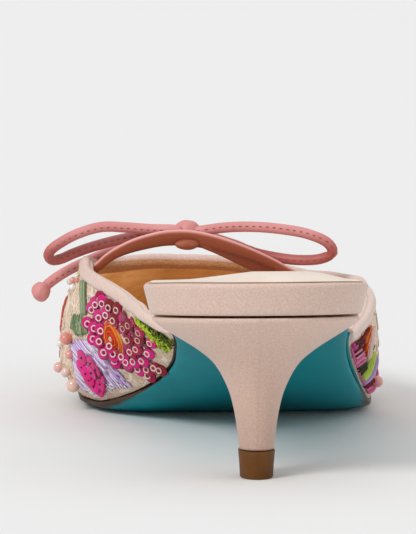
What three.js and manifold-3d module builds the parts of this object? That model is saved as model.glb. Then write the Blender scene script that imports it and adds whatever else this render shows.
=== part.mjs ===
import * as THREE from 'three';
import { mergeVertices } from 'three/addons/utils/BufferGeometryUtils.js';
import Module from 'manifold-3d';

// Kitten heel mule, right foot, in millimetres.
// Seen from behind: +X is right (little toe side), +Y runs from the heel to the toe, +Z is up.
// Shoe coordinates start at the back of the footbed, on the axis of the heel, on the floor.

// Driving sizes
const shoeLength = 245; // back of the footbed to the toe tip
const ballWidth = 77; // across the sole at the ball
const waistWidth = 45; // across the sole at the arch
const seatWidth = 56; // across the footbed over the heel
const seatLength = 52; // back of the footbed to the heel's breast
const seatRound = 27; // length of the round back of the seat
const toeRound = 30; // length over which the toe closes in plan
const toeDrop = 15; // length over which the toe closes in height
const toeSwing = 6; // toe tip towards the big toe side

// Heights
const heelHeight = 43; // floor to the underside of the footbed at the very back
const toeSpring = 7.4; // rise of the sole under the toe tip
const flatStart = 147; // where the forefoot meets the floor
const flatEnd = 187; // where the toe spring starts
const instepHeight = 47; // of the last above the feather line, over the arch
const seatTaper = 1.9; // the footbed's underside is this much smaller all round at the seat

// Thicknesses and clearances
const seatThickness = 8;
const forefootThickness = 3.5;
const outsoleThickness = 2.8;
const sockThickness = 1.2;
const sockCrown = 0.5; // padding that domes the sock over the seat
const upperWall = 2;
const lastRoom = 1.4; // between the footbed's edge and the upper's wall
const fitGap = 0.3; // between pieces that meet
const edgeTuck = 0.8; // the sole's edge inside the upper at the arch
const edgeReveal = 0.5; // the sole's edge outside the upper at the ball
const archCrown = 1.2; // rounding of the sole's underside at the arch

// Top piece under the heel
const tipHeight = 7;
const tipWidth = 8.2;
const tipBack = 18.6; // back of the footbed to the back of the top piece
const tipFront = 29.4;
const tipFlare = 0.45; // the top piece widens upwards by this much a side

// Satin binding along the topline
const bindingThickness = 0.7;
const bindingDepth = 2.6;

// Tie
const strapWidth = 4;
const strapThickness = 1.3;
const laceDiameter = 2.8;
const knotSize = 6;
const ballSize = 5;

// Half widths of the sole, in shares of the size that each row follows
const soleOutline = [
  { along: 0.0, across: seatWidth, medial: 0.49, lateral: 0.49 },
  { along: 0.11, across: seatWidth, medial: 0.5, lateral: 0.5 },
  { along: 0.185, across: seatWidth, medial: 0.47, lateral: 0.498 },
  { along: 0.245, across: waistWidth, medial: 0.505, lateral: 0.607 },
  { along: 0.295, across: waistWidth, medial: 0.435, lateral: 0.598 },
  { along: 0.345, across: waistWidth, medial: 0.391, lateral: 0.604 },
  { along: 0.395, across: waistWidth, medial: 0.385, lateral: 0.632 },
  { along: 0.45, across: waistWidth, medial: 0.431, lateral: 0.684 },
  { along: 0.5, across: ballWidth, medial: 0.305, lateral: 0.43 },
  { along: 0.55, across: ballWidth, medial: 0.382, lateral: 0.459 },
  { along: 0.6, across: ballWidth, medial: 0.457, lateral: 0.482 },
  { along: 0.65, across: ballWidth, medial: 0.502, lateral: 0.492 },
  { along: 0.7, across: ballWidth, medial: 0.5, lateral: 0.488 },
  { along: 0.76, across: ballWidth, medial: 0.462, lateral: 0.46 },
  { along: 0.82, across: ballWidth, medial: 0.395, lateral: 0.405 },
  { along: 0.88, across: ballWidth, medial: 0.308, lateral: 0.33 },
  { along: 0.94, across: ballWidth, medial: 0.21, lateral: 0.24 },
  { along: 1.0, across: ballWidth, medial: 0.115, lateral: 0.14 },
];

// Sideways shift of the sole's middle, in shares of the toe's swing
const swingLine = [
  { along: 0.0, swing: 0 },
  { along: 0.66, swing: 0 },
  { along: 0.8, swing: 0.22 },
  { along: 0.92, swing: 0.68 },
  { along: 1.0, swing: 1 },
];

// Height of the footbed's underside between the ball (0) and the back of the seat (1), and
// its thickness between the forefoot (0) and the seat (1)
const archLine = [
  { along: 0.0, rise: 1.0, thick: 1 },
  { along: 0.1, rise: 0.941, thick: 1 },
  { along: 0.204, rise: 0.88, thick: 1 },
  { along: 0.245, rise: 0.82, thick: 0.86 },
  { along: 0.286, rise: 0.737, thick: 0.64 },
  { along: 0.327, rise: 0.634, thick: 0.42 },
  { along: 0.367, rise: 0.524, thick: 0.24 },
  { along: 0.408, rise: 0.411, thick: 0.12 },
  { along: 0.449, rise: 0.3, thick: 0.04 },
  { along: 0.49, rise: 0.196, thick: 0 },
  { along: 0.531, rise: 0.102, thick: 0 },
  { along: 0.571, rise: 0.03, thick: 0 },
  { along: 0.6, rise: 0, thick: 0 },
  { along: 1.0, rise: 0, thick: 0 },
];

// Sections of the last above the sole: how far the widest line stands out and up from the
// feather line (mm shares of the ball width and instep height), the crest's height and place,
// and how square each shoulder is
const lastSections = [
  {
    along: 0.3,
    outMedial: 0.03,
    outLateral: 0.03,
    widest: 0.13,
    crest: 0.96,
    ridge: 0.05,
    squareMedial: 3,
    squareLateral: 2.6,
  },
  {
    along: 0.36,
    outMedial: 0.085,
    outLateral: 0.033,
    widest: 0.2,
    crest: 0.98,
    ridge: 0.07,
    squareMedial: 3,
    squareLateral: 2.6,
  },
  {
    along: 0.43,
    outMedial: 0.125,
    outLateral: 0.035,
    widest: 0.29,
    crest: 1,
    ridge: 0.09,
    squareMedial: 3,
    squareLateral: 2.6,
  },
  {
    along: 0.49,
    outMedial: 0.128,
    outLateral: 0.039,
    widest: 0.32,
    crest: 1,
    ridge: 0.1,
    squareMedial: 3,
    squareLateral: 2.6,
  },
  {
    along: 0.55,
    outMedial: 0.112,
    outLateral: 0.037,
    widest: 0.285,
    crest: 1,
    ridge: 0.105,
    squareMedial: 3,
    squareLateral: 2.6,
  },
  {
    along: 0.61,
    outMedial: 0.088,
    outLateral: 0.029,
    widest: 0.245,
    crest: 1,
    ridge: 0.11,
    squareMedial: 2.9,
    squareLateral: 2.6,
  },
  {
    along: 0.665,
    outMedial: 0.066,
    outLateral: 0.024,
    widest: 0.225,
    crest: 0.87,
    ridge: 0.14,
    squareMedial: 2.5,
    squareLateral: 2.35,
  },
  {
    along: 0.71,
    outMedial: 0.054,
    outLateral: 0.024,
    widest: 0.21,
    crest: 0.74,
    ridge: 0.15,
    squareMedial: 2.35,
    squareLateral: 2.15,
  },
  {
    along: 0.78,
    outMedial: 0.04,
    outLateral: 0.027,
    widest: 0.19,
    crest: 0.61,
    ridge: 0.13,
    squareMedial: 2.3,
    squareLateral: 2.1,
  },
  {
    along: 0.85,
    outMedial: 0.034,
    outLateral: 0.03,
    widest: 0.16,
    crest: 0.52,
    ridge: 0.105,
    squareMedial: 2.2,
    squareLateral: 2.1,
  },
  {
    along: 0.92,
    outMedial: 0.028,
    outLateral: 0.03,
    widest: 0.13,
    crest: 0.43,
    ridge: 0.09,
    squareMedial: 2.2,
    squareLateral: 2.1,
  },
  {
    along: 1,
    outMedial: 0.02,
    outLateral: 0.02,
    widest: 0.1,
    crest: 0.34,
    ridge: 0.08,
    squareMedial: 2.2,
    squareLateral: 2.1,
  },
];

// Where the topline crosses each line of the last. turn runs from the feather line (-1) over
// the widest line (0) to the crest (1); start is the share of the shoe's length
const medialTopline = [
  { turn: -1.0, start: 0.318 },
  { turn: -0.8, start: 0.33 },
  { turn: -0.6, start: 0.343 },
  { turn: -0.21, start: 0.367 },
  { turn: 0.0, start: 0.396 },
  { turn: 0.067, start: 0.434 },
  { turn: 0.15, start: 0.47 },
  { turn: 0.37, start: 0.545 },
  { turn: 0.51, start: 0.603 },
  { turn: 0.66, start: 0.665 },
  { turn: 0.79, start: 0.692 },
  { turn: 1.0, start: 0.71 },
];
const lateralTopline = [
  { turn: -1.0, start: 0.318 },
  { turn: -0.74, start: 0.359 },
  { turn: -0.385, start: 0.396 },
  { turn: -0.15, start: 0.433 },
  { turn: 0.0, start: 0.453 },
  { turn: 0.057, start: 0.469 },
  { turn: 0.19, start: 0.51 },
  { turn: 0.37, start: 0.58 },
  { turn: 0.43, start: 0.62 },
  { turn: 0.51, start: 0.653 },
  { turn: 0.59, start: 0.678 },
  { turn: 0.67, start: 0.698 },
  { turn: 0.88, start: 0.71 },
  { turn: 1.0, start: 0.71 },
];

// Heel sections from the top piece (level 0) to the seat (level 1): half width in shares of
// the seat's, back and front in shares of the seat's length, and how much of its slope
const heelSections = [
  { level: 0.0, half: 0.165, back: 0.358, front: 0.565, slope: 0 },
  { level: 0.11, half: 0.179, back: 0.35, front: 0.577, slope: 0 },
  { level: 0.265, half: 0.208, back: 0.333, front: 0.6, slope: 0 },
  { level: 0.4, half: 0.248, back: 0.31, front: 0.63, slope: 0.03 },
  { level: 0.535, half: 0.318, back: 0.273, front: 0.672, slope: 0.1 },
  { level: 0.65, half: 0.41, back: 0.228, front: 0.722, slope: 0.22 },
  { level: 0.745, half: 0.55, back: 0.178, front: 0.782, slope: 0.4 },
  { level: 0.81, half: 0.675, back: 0.138, front: 0.83, slope: 0.58 },
  { level: 0.86, half: 0.78, back: 0.103, front: 0.877, slope: 0.74 },
  { level: 0.92, half: 0.9, back: 0.058, front: 0.935, slope: 0.9 },
  { level: 0.965, half: 0.965, back: 0.022, front: 0.975, slope: 0.98 },
  { level: 1.0, half: 1.0, back: 0.0, front: 1.0, slope: 1 },
];

const stepsAlong = 24; // stations along the footbed, the sock and the upper
const outsoleSteps = 32; // along the outsole
const heelSteps = 18; // along each section of the heel
const toplineSteps = 17; // lines of the last on each side above its widest line
const featherSteps = 6; // and below it

// A smooth monotone curve through one column of a table
function tableCurve(rows, column, key = 'along') {
  const at = rows.map((row) => row[key]);
  const value = rows.map((row) => row[column] * (row.across ?? 1));
  const last = rows.length - 1;
  const chord = value.slice(1).map((next, i) => (next - value[i]) / (at[i + 1] - at[i]));
  const slope = value.map((_, i) => {
    const before = chord[Math.max(i - 1, 0)];
    const after = chord[Math.min(i, last - 1)];
    return before * after <= 0 ? 0 : (2 * before * after) / (before + after);
  });
  return (where) => {
    const x = THREE.MathUtils.clamp(where, at[0], at[last]);
    let i = 0;
    while (i < last - 1 && x > at[i + 1]) i += 1;
    const width = at[i + 1] - at[i];
    const t = (x - at[i]) / width;
    const hold = (1 + 2 * t) * (1 - t) ** 2 * value[i] + t * t * (3 - 2 * t) * value[i + 1];
    return hold + width * t * (1 - t) * ((1 - t) * slope[i] - t * slope[i + 1]);
  };
}

const outline = { '-1': tableCurve(soleOutline, 'medial'), 1: tableCurve(soleOutline, 'lateral') };
const swingAt = tableCurve(swingLine, 'swing');
const riseAt = tableCurve(archLine, 'rise');
const thickAt = tableCurve(archLine, 'thick');
const last = {
  out: { '-1': tableCurve(lastSections, 'outMedial'), 1: tableCurve(lastSections, 'outLateral') },
  square: {
    '-1': tableCurve(lastSections, 'squareMedial'),
    1: tableCurve(lastSections, 'squareLateral'),
  },
  widest: tableCurve(lastSections, 'widest'),
  crest: tableCurve(lastSections, 'crest'),
  ridge: tableCurve(lastSections, 'ridge'),
};
const toplineStart = {
  '-1': tableCurve(medialTopline, 'start', 'turn'),
  1: tableCurve(lateralTopline, 'start', 'turn'),
};

// Round closing at an end: 1 until it starts, then a quarter of an ellipse down to 0
const roundOff = (distance, length) => {
  const share = THREE.MathUtils.clamp(distance / length, 0, 1);
  return Math.sqrt(1 - share * share);
};
const toeStart = shoeLength - toeRound;
const backClose = (y) => roundOff(seatRound - y, seatRound);
const toeClose = (y) => roundOff(y - toeStart, toeRound);
const middleAt = (y) => -toeSwing * swingAt(y / shoeLength);
const halfAt = (side, y) => outline[side](y / shoeLength) * backClose(y) * toeClose(y);

// Heights along the shoe
const soleStack = outsoleThickness + fitGap;
const springAt = (y) => toeSpring * Math.max(0, (y - flatEnd) / (shoeLength - flatEnd)) ** 2;
const underside = (y) => soleStack + (heelHeight - soleStack) * riseAt(y / shoeLength) + springAt(y);
const footbedTop = (y) =>
  underside(y) + THREE.MathUtils.lerp(forefootThickness, seatThickness, thickAt(y / shoeLength));
const featherLine = underside;

// A point of the sole's outline, taken in by inset all round, the ends too
function outlinePoint(side, y, inset) {
  const ball = flatEnd;
  let place = y;
  if (y < seatRound) place = seatRound - (seatRound - y) * (1 - inset / seatRound);
  if (y > ball) place = ball + (y - ball) * (1 - inset / (shoeLength - ball));
  const full = halfAt(side, y);
  const waist = THREE.MathUtils.clamp(Math.min(y / seatRound, (shoeLength - y) / (shoeLength - ball)), 0, 1);
  const reference = outline[side](THREE.MathUtils.clamp(y, seatRound, ball) / shoeLength);
  const half = waist >= 1 ? full - inset : full * (1 - inset / reference);
  return new THREE.Vector3(middleAt(y) + side * half, place, 0);
}

// Stations from start to end, closer together towards a round end
function stations(start, end, roundStart, roundEnd, steps = stepsAlong) {
  const list = [];
  for (let i = 0; i <= steps; i += 1) {
    const t = i / steps;
    const easeIn = roundStart ? Math.PI / 2 : 0;
    const easeOut = roundEnd ? Math.PI / 2 : 0;
    const span = Math.sin(easeOut) + Math.sin(easeIn);
    const eased = (Math.sin(t * (easeIn + easeOut) - easeIn) + Math.sin(easeIn)) / (span || 1);
    const mix = span ? THREE.MathUtils.lerp(t, eased, 0.75) : t;
    list.push(start + (end - start) * (roundStart || roundEnd ? mix : t));
  }
  list[0] = start;
  list[steps] = end;
  return list;
}

// Closed solid from shared points: doubles merged, empty triangles dropped, faces outwards
function closedSolid(points, faces) {
  const rough = new THREE.BufferGeometry();
  rough.setAttribute('position', new THREE.Float32BufferAttribute(points.flatMap((p) => p.toArray()), 3));
  rough.setIndex(faces.flat());
  const merged = mergeVertices(rough, 1e-3);
  const place = merged.getAttribute('position');
  const index = Array.from(merged.index.array);
  const kept = [];
  let volume = 0;
  const [a, b, c] = [new THREE.Vector3(), new THREE.Vector3(), new THREE.Vector3()];
  for (let i = 0; i < index.length; i += 3) {
    const [p, q, r] = index.slice(i, i + 3);
    if (p !== q && q !== r && r !== p) {
      kept.push([p, q, r]);
      a.fromBufferAttribute(place, p);
      b.fromBufferAttribute(place, q);
      c.fromBufferAttribute(place, r);
      volume += a.dot(b.cross(c));
    }
  }
  merged.setIndex((volume < 0 ? kept.map(([p, q, r]) => [p, r, q]) : kept).flat());
  return merged;
}

// Rings of as many points each, joined one to the next. The two ends are filled by pairing
// the points of their left and right halves
function ringSolid(rings) {
  const count = rings[0].length;
  const faces = [];
  for (let r = 0; r < rings.length - 1; r += 1) {
    for (let i = 0; i < count; i += 1) {
      const [a, b] = [r * count + i, r * count + ((i + 1) % count)];
      faces.push([a, b, b + count], [a, b + count, a + count]);
    }
  }
  const top = (rings.length - 1) * count;
  for (let i = 0; i < count / 2 - 1; i += 1) {
    const [a, b, c, d] = [i, i + 1, count - 2 - i, count - 1 - i];
    faces.push([a, c, b], [a, d, c]);
    faces.push([top + a, top + b, top + c], [top + a, top + c, top + d]);
  }
  return closedSolid(rings.flat(), faces);
}

// One loop round the sole's outline at an inset, its height given by a function of y
function outlineLoop(places, inset, heightAt) {
  const halves = [-1, 1].map((side) =>
    places.map((y) => {
      const point = outlinePoint(side, y, typeof inset === 'function' ? inset(y) : inset);
      return point.setZ(heightAt(point.y));
    }),
  );
  return [...halves[0], ...halves[1].reverse()];
}

const blendBetween = (y, start, end) => THREE.MathUtils.smoothstep(y, start, end);

// Footbed: thick and bare over the heel, thin inside the upper
const upperStart = toplineStart['-1'](-1) * shoeLength;
const footbedInset = (y) => (upperWall + lastRoom) * blendBetween(y, seatLength + 5, upperStart);
const taperAt = (y) => THREE.MathUtils.lerp(seatTaper, 0.4, blendBetween(y, seatLength, upperStart));

function footbed() {
  const places = stations(0, shoeLength, true, true);
  const edge = 1.1; // rounding of the wrapped top edge
  const loop = (extra, heightAt) => outlineLoop(places, (y) => footbedInset(y) + extra(y), heightAt);
  return ringSolid([
    loop(taperAt, underside),
    loop((y) => taperAt(y) * 0.55, (y) => THREE.MathUtils.lerp(underside(y), footbedTop(y), 0.4)),
    loop(() => 0, (y) => footbedTop(y) - edge),
    loop(() => edge * 0.3, (y) => footbedTop(y) - edge * 0.3),
    loop(() => edge, footbedTop),
  ]);
}

// Sock: the cover of the footbed, a little smaller than it at the seat
function sock() {
  const places = stations(0, shoeLength, true, true);
  const margin = (y) => 1.6 + (upperWall + 0.6) * blendBetween(y, flatEnd, shoeLength - toeDrop);
  const bottom = (y) => footbedTop(y) + fitGap;
  const dome = (y) => sockCrown * (1 - blendBetween(y, seatLength, upperStart + 20));
  const top = (y) => bottom(y) + sockThickness;
  return ringSolid([
    outlineLoop(places, (y) => margin(y) + 0.2, bottom),
    outlineLoop(places, margin, (y) => top(y) - 0.4),
    outlineLoop(places, (y) => margin(y) + 0.4, top),
    outlineLoop(places, (y) => margin(y) + 6, (y) => top(y) + dome(y) * 0.7),
    outlineLoop(places, (y) => margin(y) + 13, (y) => top(y) + dome(y)),
  ]);
}

// Outsole: from the heel's breast to the toe, flat on the floor under the ball
const outsoleTop = (y) => underside(y) - fitGap;
const outsoleInset = (y) => THREE.MathUtils.lerp(edgeTuck, -edgeReveal, blendBetween(y, 105, flatStart));

function outsole() {
  const places = stations(seatLength + 2 * fitGap, shoeLength, false, true, outsoleSteps);
  const bevel = 0.6; // rounding of the sole's lower edge
  const crown = (y) => archCrown * (1 - blendBetween(y, 95, flatStart - 10)) * blendBetween(y, seatLength, 70);
  const floorSide = (y) => outsoleTop(y) - outsoleThickness;
  const thinning = 1.7; // the sole is this much thinner at its edge
  const loop = (extra, heightAt) => outlineLoop(places, (y) => outsoleInset(y) + extra, heightAt);
  return ringSolid([
    loop(0.2, outsoleTop),
    loop(0, (y) => outsoleTop(y) - 0.4),
    loop(0, (y) => floorSide(y) + thinning + bevel / 2),
    loop(bevel, (y) => floorSide(y) + thinning * 0.85),
    loop(4, (y) => floorSide(y) + thinning * 0.42 - crown(y) * 0.3),
    loop(9, (y) => floorSide(y) + thinning * 0.1 - crown(y) * 0.8),
    loop(14, (y) => floorSide(y) - crown(y)),
  ]);
}

// Heel: every section is the seat's own outline, made narrower and shorter
const heelAxis = (tipBack + tipFront) / 2;
const seatHalf = seatWidth / 2 - seatTaper;
const heelTopAt = (y) => underside(y) - fitGap;

function heelRing(section) {
  const places = stations(0, seatLength, true, false, heelSteps);
  const bottom = tipHeight + fitGap;
  const level = THREE.MathUtils.lerp(bottom, heelTopAt(heelAxis), section.level);
  const halves = [-1, 1].map((side) =>
    places.map((place) => {
      const edge = outlinePoint(side, place, seatTaper);
      const y = seatLength * THREE.MathUtils.lerp(section.back, section.front, edge.y / seatLength);
      const slope = (heelTopAt(y) - heelTopAt(heelAxis)) * section.slope;
      return new THREE.Vector3(edge.x * section.half, y, level + slope);
    }),
  );
  return [...halves[0], ...halves[1].reverse()];
}

const heel = () => ringSolid(heelSections.map(heelRing));

function topPiece() {
  const places = stations(0, seatLength, true, false, heelSteps);
  const ring = (z, flare) => {
    const halves = [-1, 1].map((side) =>
      places.map((place) => {
        const edge = outlinePoint(side, place, seatTaper);
        const share = edge.y / seatLength;
        const y = THREE.MathUtils.lerp(tipBack - flare, tipFront + flare * 0.4, share);
        return new THREE.Vector3((edge.x / seatHalf) * (tipWidth / 2 + flare), y, z);
      }),
    );
    return [...halves[0], ...halves[1].reverse()];
  };
  return ringSolid([ring(0, 0), ring(tipHeight * 0.5, tipFlare * 0.35), ring(tipHeight, tipFlare)]);
}

// A point of the last's outer surface
function lastPoint(side, y, turn) {
  const share = y / shoeLength;
  const close = toeClose(y);
  const drop = roundOff(y - (shoeLength - toeDrop), toeDrop);
  const middle = middleAt(y);
  const out = ballWidth * last.out[side](share) * close;
  const feather = middle + side * halfAt(side, y);
  const widestX = feather + side * out;
  const base = featherLine(y);
  const crest = instepHeight * last.crest(share) * drop;
  const widest = Math.min(instepHeight * last.widest(share) * drop, crest);
  if (turn <= 0) {
    const down = -turn;
    return new THREE.Vector3(feather + side * out * (1 - down ** 1.8), y, base + widest * (1 - down));
  }
  const angle = (Math.PI / 2) * Math.min(turn, 1) ** 1.4;
  const power = 2 / last.square[side](share);
  const ridge = middle - (ballWidth * last.ridge(share) - toeSwing * swingAt(share)) * close;
  const reach = turn >= 1 ? 0 : Math.cos(angle) ** power;
  return new THREE.Vector3(
    ridge + (widestX - ridge) * reach,
    y,
    base + widest + (crest - widest) * Math.sin(angle) ** power,
  );
}

// Outward direction of the wall. It lies level at the feather line, where the wall stands on
// the sole, and at the toe tip
function wallDirection(side, y, turn) {
  const step = 0.02;
  const place = Math.min(y, shoeLength - 0.6);
  const along = lastPoint(side, place + step * 10, turn).sub(lastPoint(side, place - step * 10, turn));
  const low = Math.max(turn - step, -1);
  const high = Math.min(turn + step, 1);
  const across = lastPoint(side, place, high).sub(lastPoint(side, place, low));
  const normal = across.cross(along).multiplyScalar(-side).normalize();
  const tip = blendBetween(y, shoeLength - 5, shoeLength);
  const level = Math.max(turn < 0 ? -turn : 0, tip);
  const flat = new THREE.Vector3(normal.x * (1 - tip), normal.y * (1 - tip) + tip, 0).normalize();
  return normal.lerp(flat, level).normalize();
}

const wallPoint = (side, y, turn, offset) =>
  lastPoint(side, y, turn).addScaledVector(wallDirection(side, y, turn), offset);

// Lines of the last from the inner feather line over the crest to the outer one
const turns = [];
for (let i = 0; i < featherSteps; i += 1) turns.push({ side: -1, turn: i / featherSteps - 1 });
for (let i = 0; i < toplineSteps; i += 1) turns.push({ side: -1, turn: i / toplineSteps });
for (let i = toplineSteps; i > 0; i -= 1) turns.push({ side: 1, turn: i / toplineSteps });
for (let i = 0; i <= featherSteps; i += 1) turns.push({ side: 1, turn: -i / featherSteps });

const toplineAt = (line) => toplineStart[line.side](line.turn) * shoeLength;

// A place on the topline: the point, the wall's outward direction and the way into the wall
function rimFrame(i) {
  const line = turns[i];
  const next = turns[Math.min(i + 1, turns.length - 1)];
  const previous = turns[Math.max(i - 1, 0)];
  const start = toplineAt(line);
  const here = lastPoint(line.side, start, line.turn);
  const out = wallDirection(line.side, start, line.turn);
  const along = lastPoint(next.side, toplineAt(next), next.turn)
    .sub(lastPoint(previous.side, toplineAt(previous), previous.turn))
    .normalize();
  const inwards = new THREE.Vector3().crossVectors(out, along).normalize();
  const forward = lastPoint(line.side, start + 1, line.turn).sub(here);
  if (inwards.dot(forward) < 0) inwards.negate();
  return { line, start, here, inwards };
}

// Upper: one wall, open under the foot and behind the topline. grow makes it larger all round,
// which is the room that the binding leaves for it
function upper(grow = 0) {
  const rows = stepsAlong;
  const skin = (offset) =>
    turns.map((line, i) => {
      const start = toplineAt(line);
      const rim = wallPoint(line.side, start, line.turn, offset);
      const column = [rim.addScaledVector(rimFrame(i).inwards, -grow)];
      for (let j = 1; j <= rows; j += 1) {
        const t = THREE.MathUtils.lerp(j / rows, Math.sin((Math.PI / 2) * (j / rows)), 0.75);
        column.push(wallPoint(line.side, start + (shoeLength - start) * t, line.turn, offset));
      }
      return column;
    });
  const outer = skin(grow);
  const inner = skin(-upperWall - grow);
  const points = [...outer.flat(), ...inner.flat()];
  const inside = outer.flat().length;
  const id = (i, j) => i * (rows + 1) + j;
  const faces = [];
  for (let i = 0; i < turns.length - 1; i += 1) {
    for (let j = 0; j < rows; j += 1) {
      const corners = [id(i, j), id(i + 1, j), id(i + 1, j + 1), id(i, j + 1)];
      if (turns[i].side < 0) corners.push(corners.shift());
      const [a, b, c, d] = corners; // split along the shorter diagonal
      faces.push([a, b, c], [a, c, d]);
      faces.push([inside + a, inside + c, inside + b], [inside + a, inside + d, inside + c]);
    }
    const [p, q] = [id(i, 0), id(i + 1, 0)];
    faces.push([p, inside + p, inside + q], [p, inside + q, q]);
  }
  for (let j = 0; j < rows; j += 1) {
    const [a, b] = [id(0, j), id(0, j + 1)];
    faces.push([a, b, inside + b], [a, inside + b, inside + a]);
    const [c, d] = [id(turns.length - 1, j), id(turns.length - 1, j + 1)];
    faces.push([c, inside + d, d], [c, inside + c, inside + d]);
  }
  return closedSolid(points, faces);
}

// Joining and cutting
const wasm = await Module();
wasm.setup();
const toManifold = (geometry) =>
  new wasm.Manifold(
    new wasm.Mesh({
      numProp: 3,
      vertProperties: Float32Array.from(geometry.getAttribute('position').array),
      triVerts: Uint32Array.from(geometry.index.array),
    }),
  );

function toGeometry(manifold) {
  const bodies = manifold.decompose().sort((a, b) => b.volume() - a.volume());
  const mesh = bodies[0].getMesh();
  const geometry = new THREE.BufferGeometry();
  geometry.setAttribute('position', new THREE.Float32BufferAttribute(mesh.vertProperties, 3));
  geometry.setIndex(Array.from(mesh.triVerts));
  return geometry;
}

const joined = (first, second) => toGeometry(toManifold(first).add(toManifold(second)));
const cut = (first, second) => toGeometry(toManifold(first).subtract(toManifold(second)));

// Binding: satin folded over the topline, its two sides following the wall
function binding() {
  const outside = fitGap + bindingThickness;
  const inside = -upperWall - outside;
  const ring = (i) => {
    const { line, start, here, inwards } = rimFrame(i);
    const clear = here.z - featherLine(start);
    const depth = Math.min(bindingDepth, Math.max(clear * 0.75, 0.8));
    const section = [
      [depth, outside],
      [depth * 0.5, outside],
      [-outside * 0.55, outside],
      [-outside, outside * 0.4],
      [-outside, inside + outside * 0.6],
      [-outside * 0.55, inside],
      [depth * 0.5, inside],
      [depth, inside],
    ];
    return section.map(([distance, offset]) => {
      const place = here.clone().addScaledVector(inwards, Math.max(distance, 0));
      const onWall = nearWall(line.side, place, line.turn, offset);
      return onWall.addScaledVector(inwards, Math.min(distance, 0));
    });
  };
  const covered = turns.map((_, i) => i).filter((i) => turns[i].turn >= -0.7);
  return cut(ringSolid(covered.map(ring)), upper(fitGap));
}

// The wall's own point nearest to a place close to one of its lines
function nearWall(side, place, turn, offset) {
  const step = 0.01;
  let found = turn;
  for (let pass = 0; pass < 6; pass += 1) {
    const low = Math.max(found - step, -1);
    const high = Math.min(found + step, 1);
    const from = lastPoint(side, place.y, low);
    const edge = lastPoint(side, place.y, high).sub(from);
    const share = place.clone().sub(from).dot(edge) / edge.lengthSq();
    found = THREE.MathUtils.clamp(low + (high - low) * share, -1, 1);
  }
  return wallPoint(side, place.y, found, offset);
}

// Flat strap along a route. Each stop has a place and the direction that its face looks
function strap(route, width, thickness, steps) {
  const curve = new THREE.CatmullRomCurve3(route.map((stop) => stop.place), false, 'centripetal');
  const rings = [];
  for (let i = 0; i <= steps; i += 1) {
    const t = (i / steps) * (route.length - 1);
    const stop = Math.min(Math.floor(t), route.length - 2);
    const centre = curve.getPoint(i / steps);
    const tangent = curve.getTangent(i / steps);
    const looks = route[stop].face.clone().lerp(route[stop + 1].face, t - stop);
    const across = new THREE.Vector3().crossVectors(tangent, looks).normalize();
    const face = new THREE.Vector3().crossVectors(across, tangent).normalize();
    const ring = [];
    for (let k = 0; k < 8; k += 1) {
      const angle = ((k + 0.5) / 8) * 2 * Math.PI;
      const [c, d] = [Math.cos(angle), Math.sin(angle)];
      const wide = Math.sign(c) * Math.abs(c) ** 0.6 * (width / 2);
      const deep = Math.sign(d) * Math.abs(d) ** 0.6 * (thickness / 2);
      ring.push(centre.clone().addScaledVector(across, wide).addScaledVector(face, deep));
    }
    rings.push(ring);
  }
  return ringSolid(rings);
}

// Tie: a strap from inside the inner corner of the throat to two seats inside the outer one
const strapOffset = -upperWall - 2 * fitGap - bindingThickness - strapThickness / 2 - 0.5;
const sewnOn = (side, y, turn, lift = 0) => ({
  place: wallPoint(side, y, turn, strapOffset - lift),
  face: wallDirection(side, y, turn).multiplyScalar(side < 0 ? 1 : -1),
});
const free = (x, y, z) => ({ place: new THREE.Vector3(x, y, z), face: new THREE.Vector3(0, -1, -0.25) });

function tieBar() {
  const main = [
    sewnOn(-1, 156, 0.36, 0.2),
    sewnOn(-1, 153.5, 0.45, 0.9),
    free(-30.5, 150.5, 42),
    free(-22, 150.5, 44.2),
    free(-11.4, 152, 45.2),
    free(-2, 151.5, 43.7),
    free(7, 152.5, 41.3),
    free(17, 155, 36.5),
    sewnOn(1, 163.5, 0.5),
    sewnOn(1, 165.5, 0.4),
  ];
  const branch = [
    free(-5.5, 151.5, 43.9),
    free(0.5, 153.5, 41.8),
    free(8, 157, 37.8),
    free(14, 162, 33.6),
    sewnOn(1, 174.5, 0.6),
  ];
  return joined(
    strap(main, strapWidth, strapThickness, 40),
    strap(branch, strapWidth * 0.85, strapThickness, 18),
  );
}

// Round lace along hand-placed points, in shoe coordinates
function lace(points, steps) {
  const path = new THREE.CatmullRomCurve3(points.map((p) => new THREE.Vector3(...p)), false, 'centripetal');
  const section = new THREE.Shape();
  const radius = laceDiameter / 2;
  for (let k = 0; k < 8; k += 1) {
    const angle = (k / 8) * 2 * Math.PI;
    const corner = [radius * Math.cos(angle), radius * Math.sin(angle)];
    if (k === 0) section.moveTo(...corner);
    else section.lineTo(...corner);
  }
  section.closePath();
  const tube = new THREE.ExtrudeGeometry(section, { steps, extrudePath: path, curveSegments: 1 });
  tube.deleteAttribute('normal');
  tube.deleteAttribute('uv');
  return mergeVertices(tube, 1e-3);
}

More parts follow.
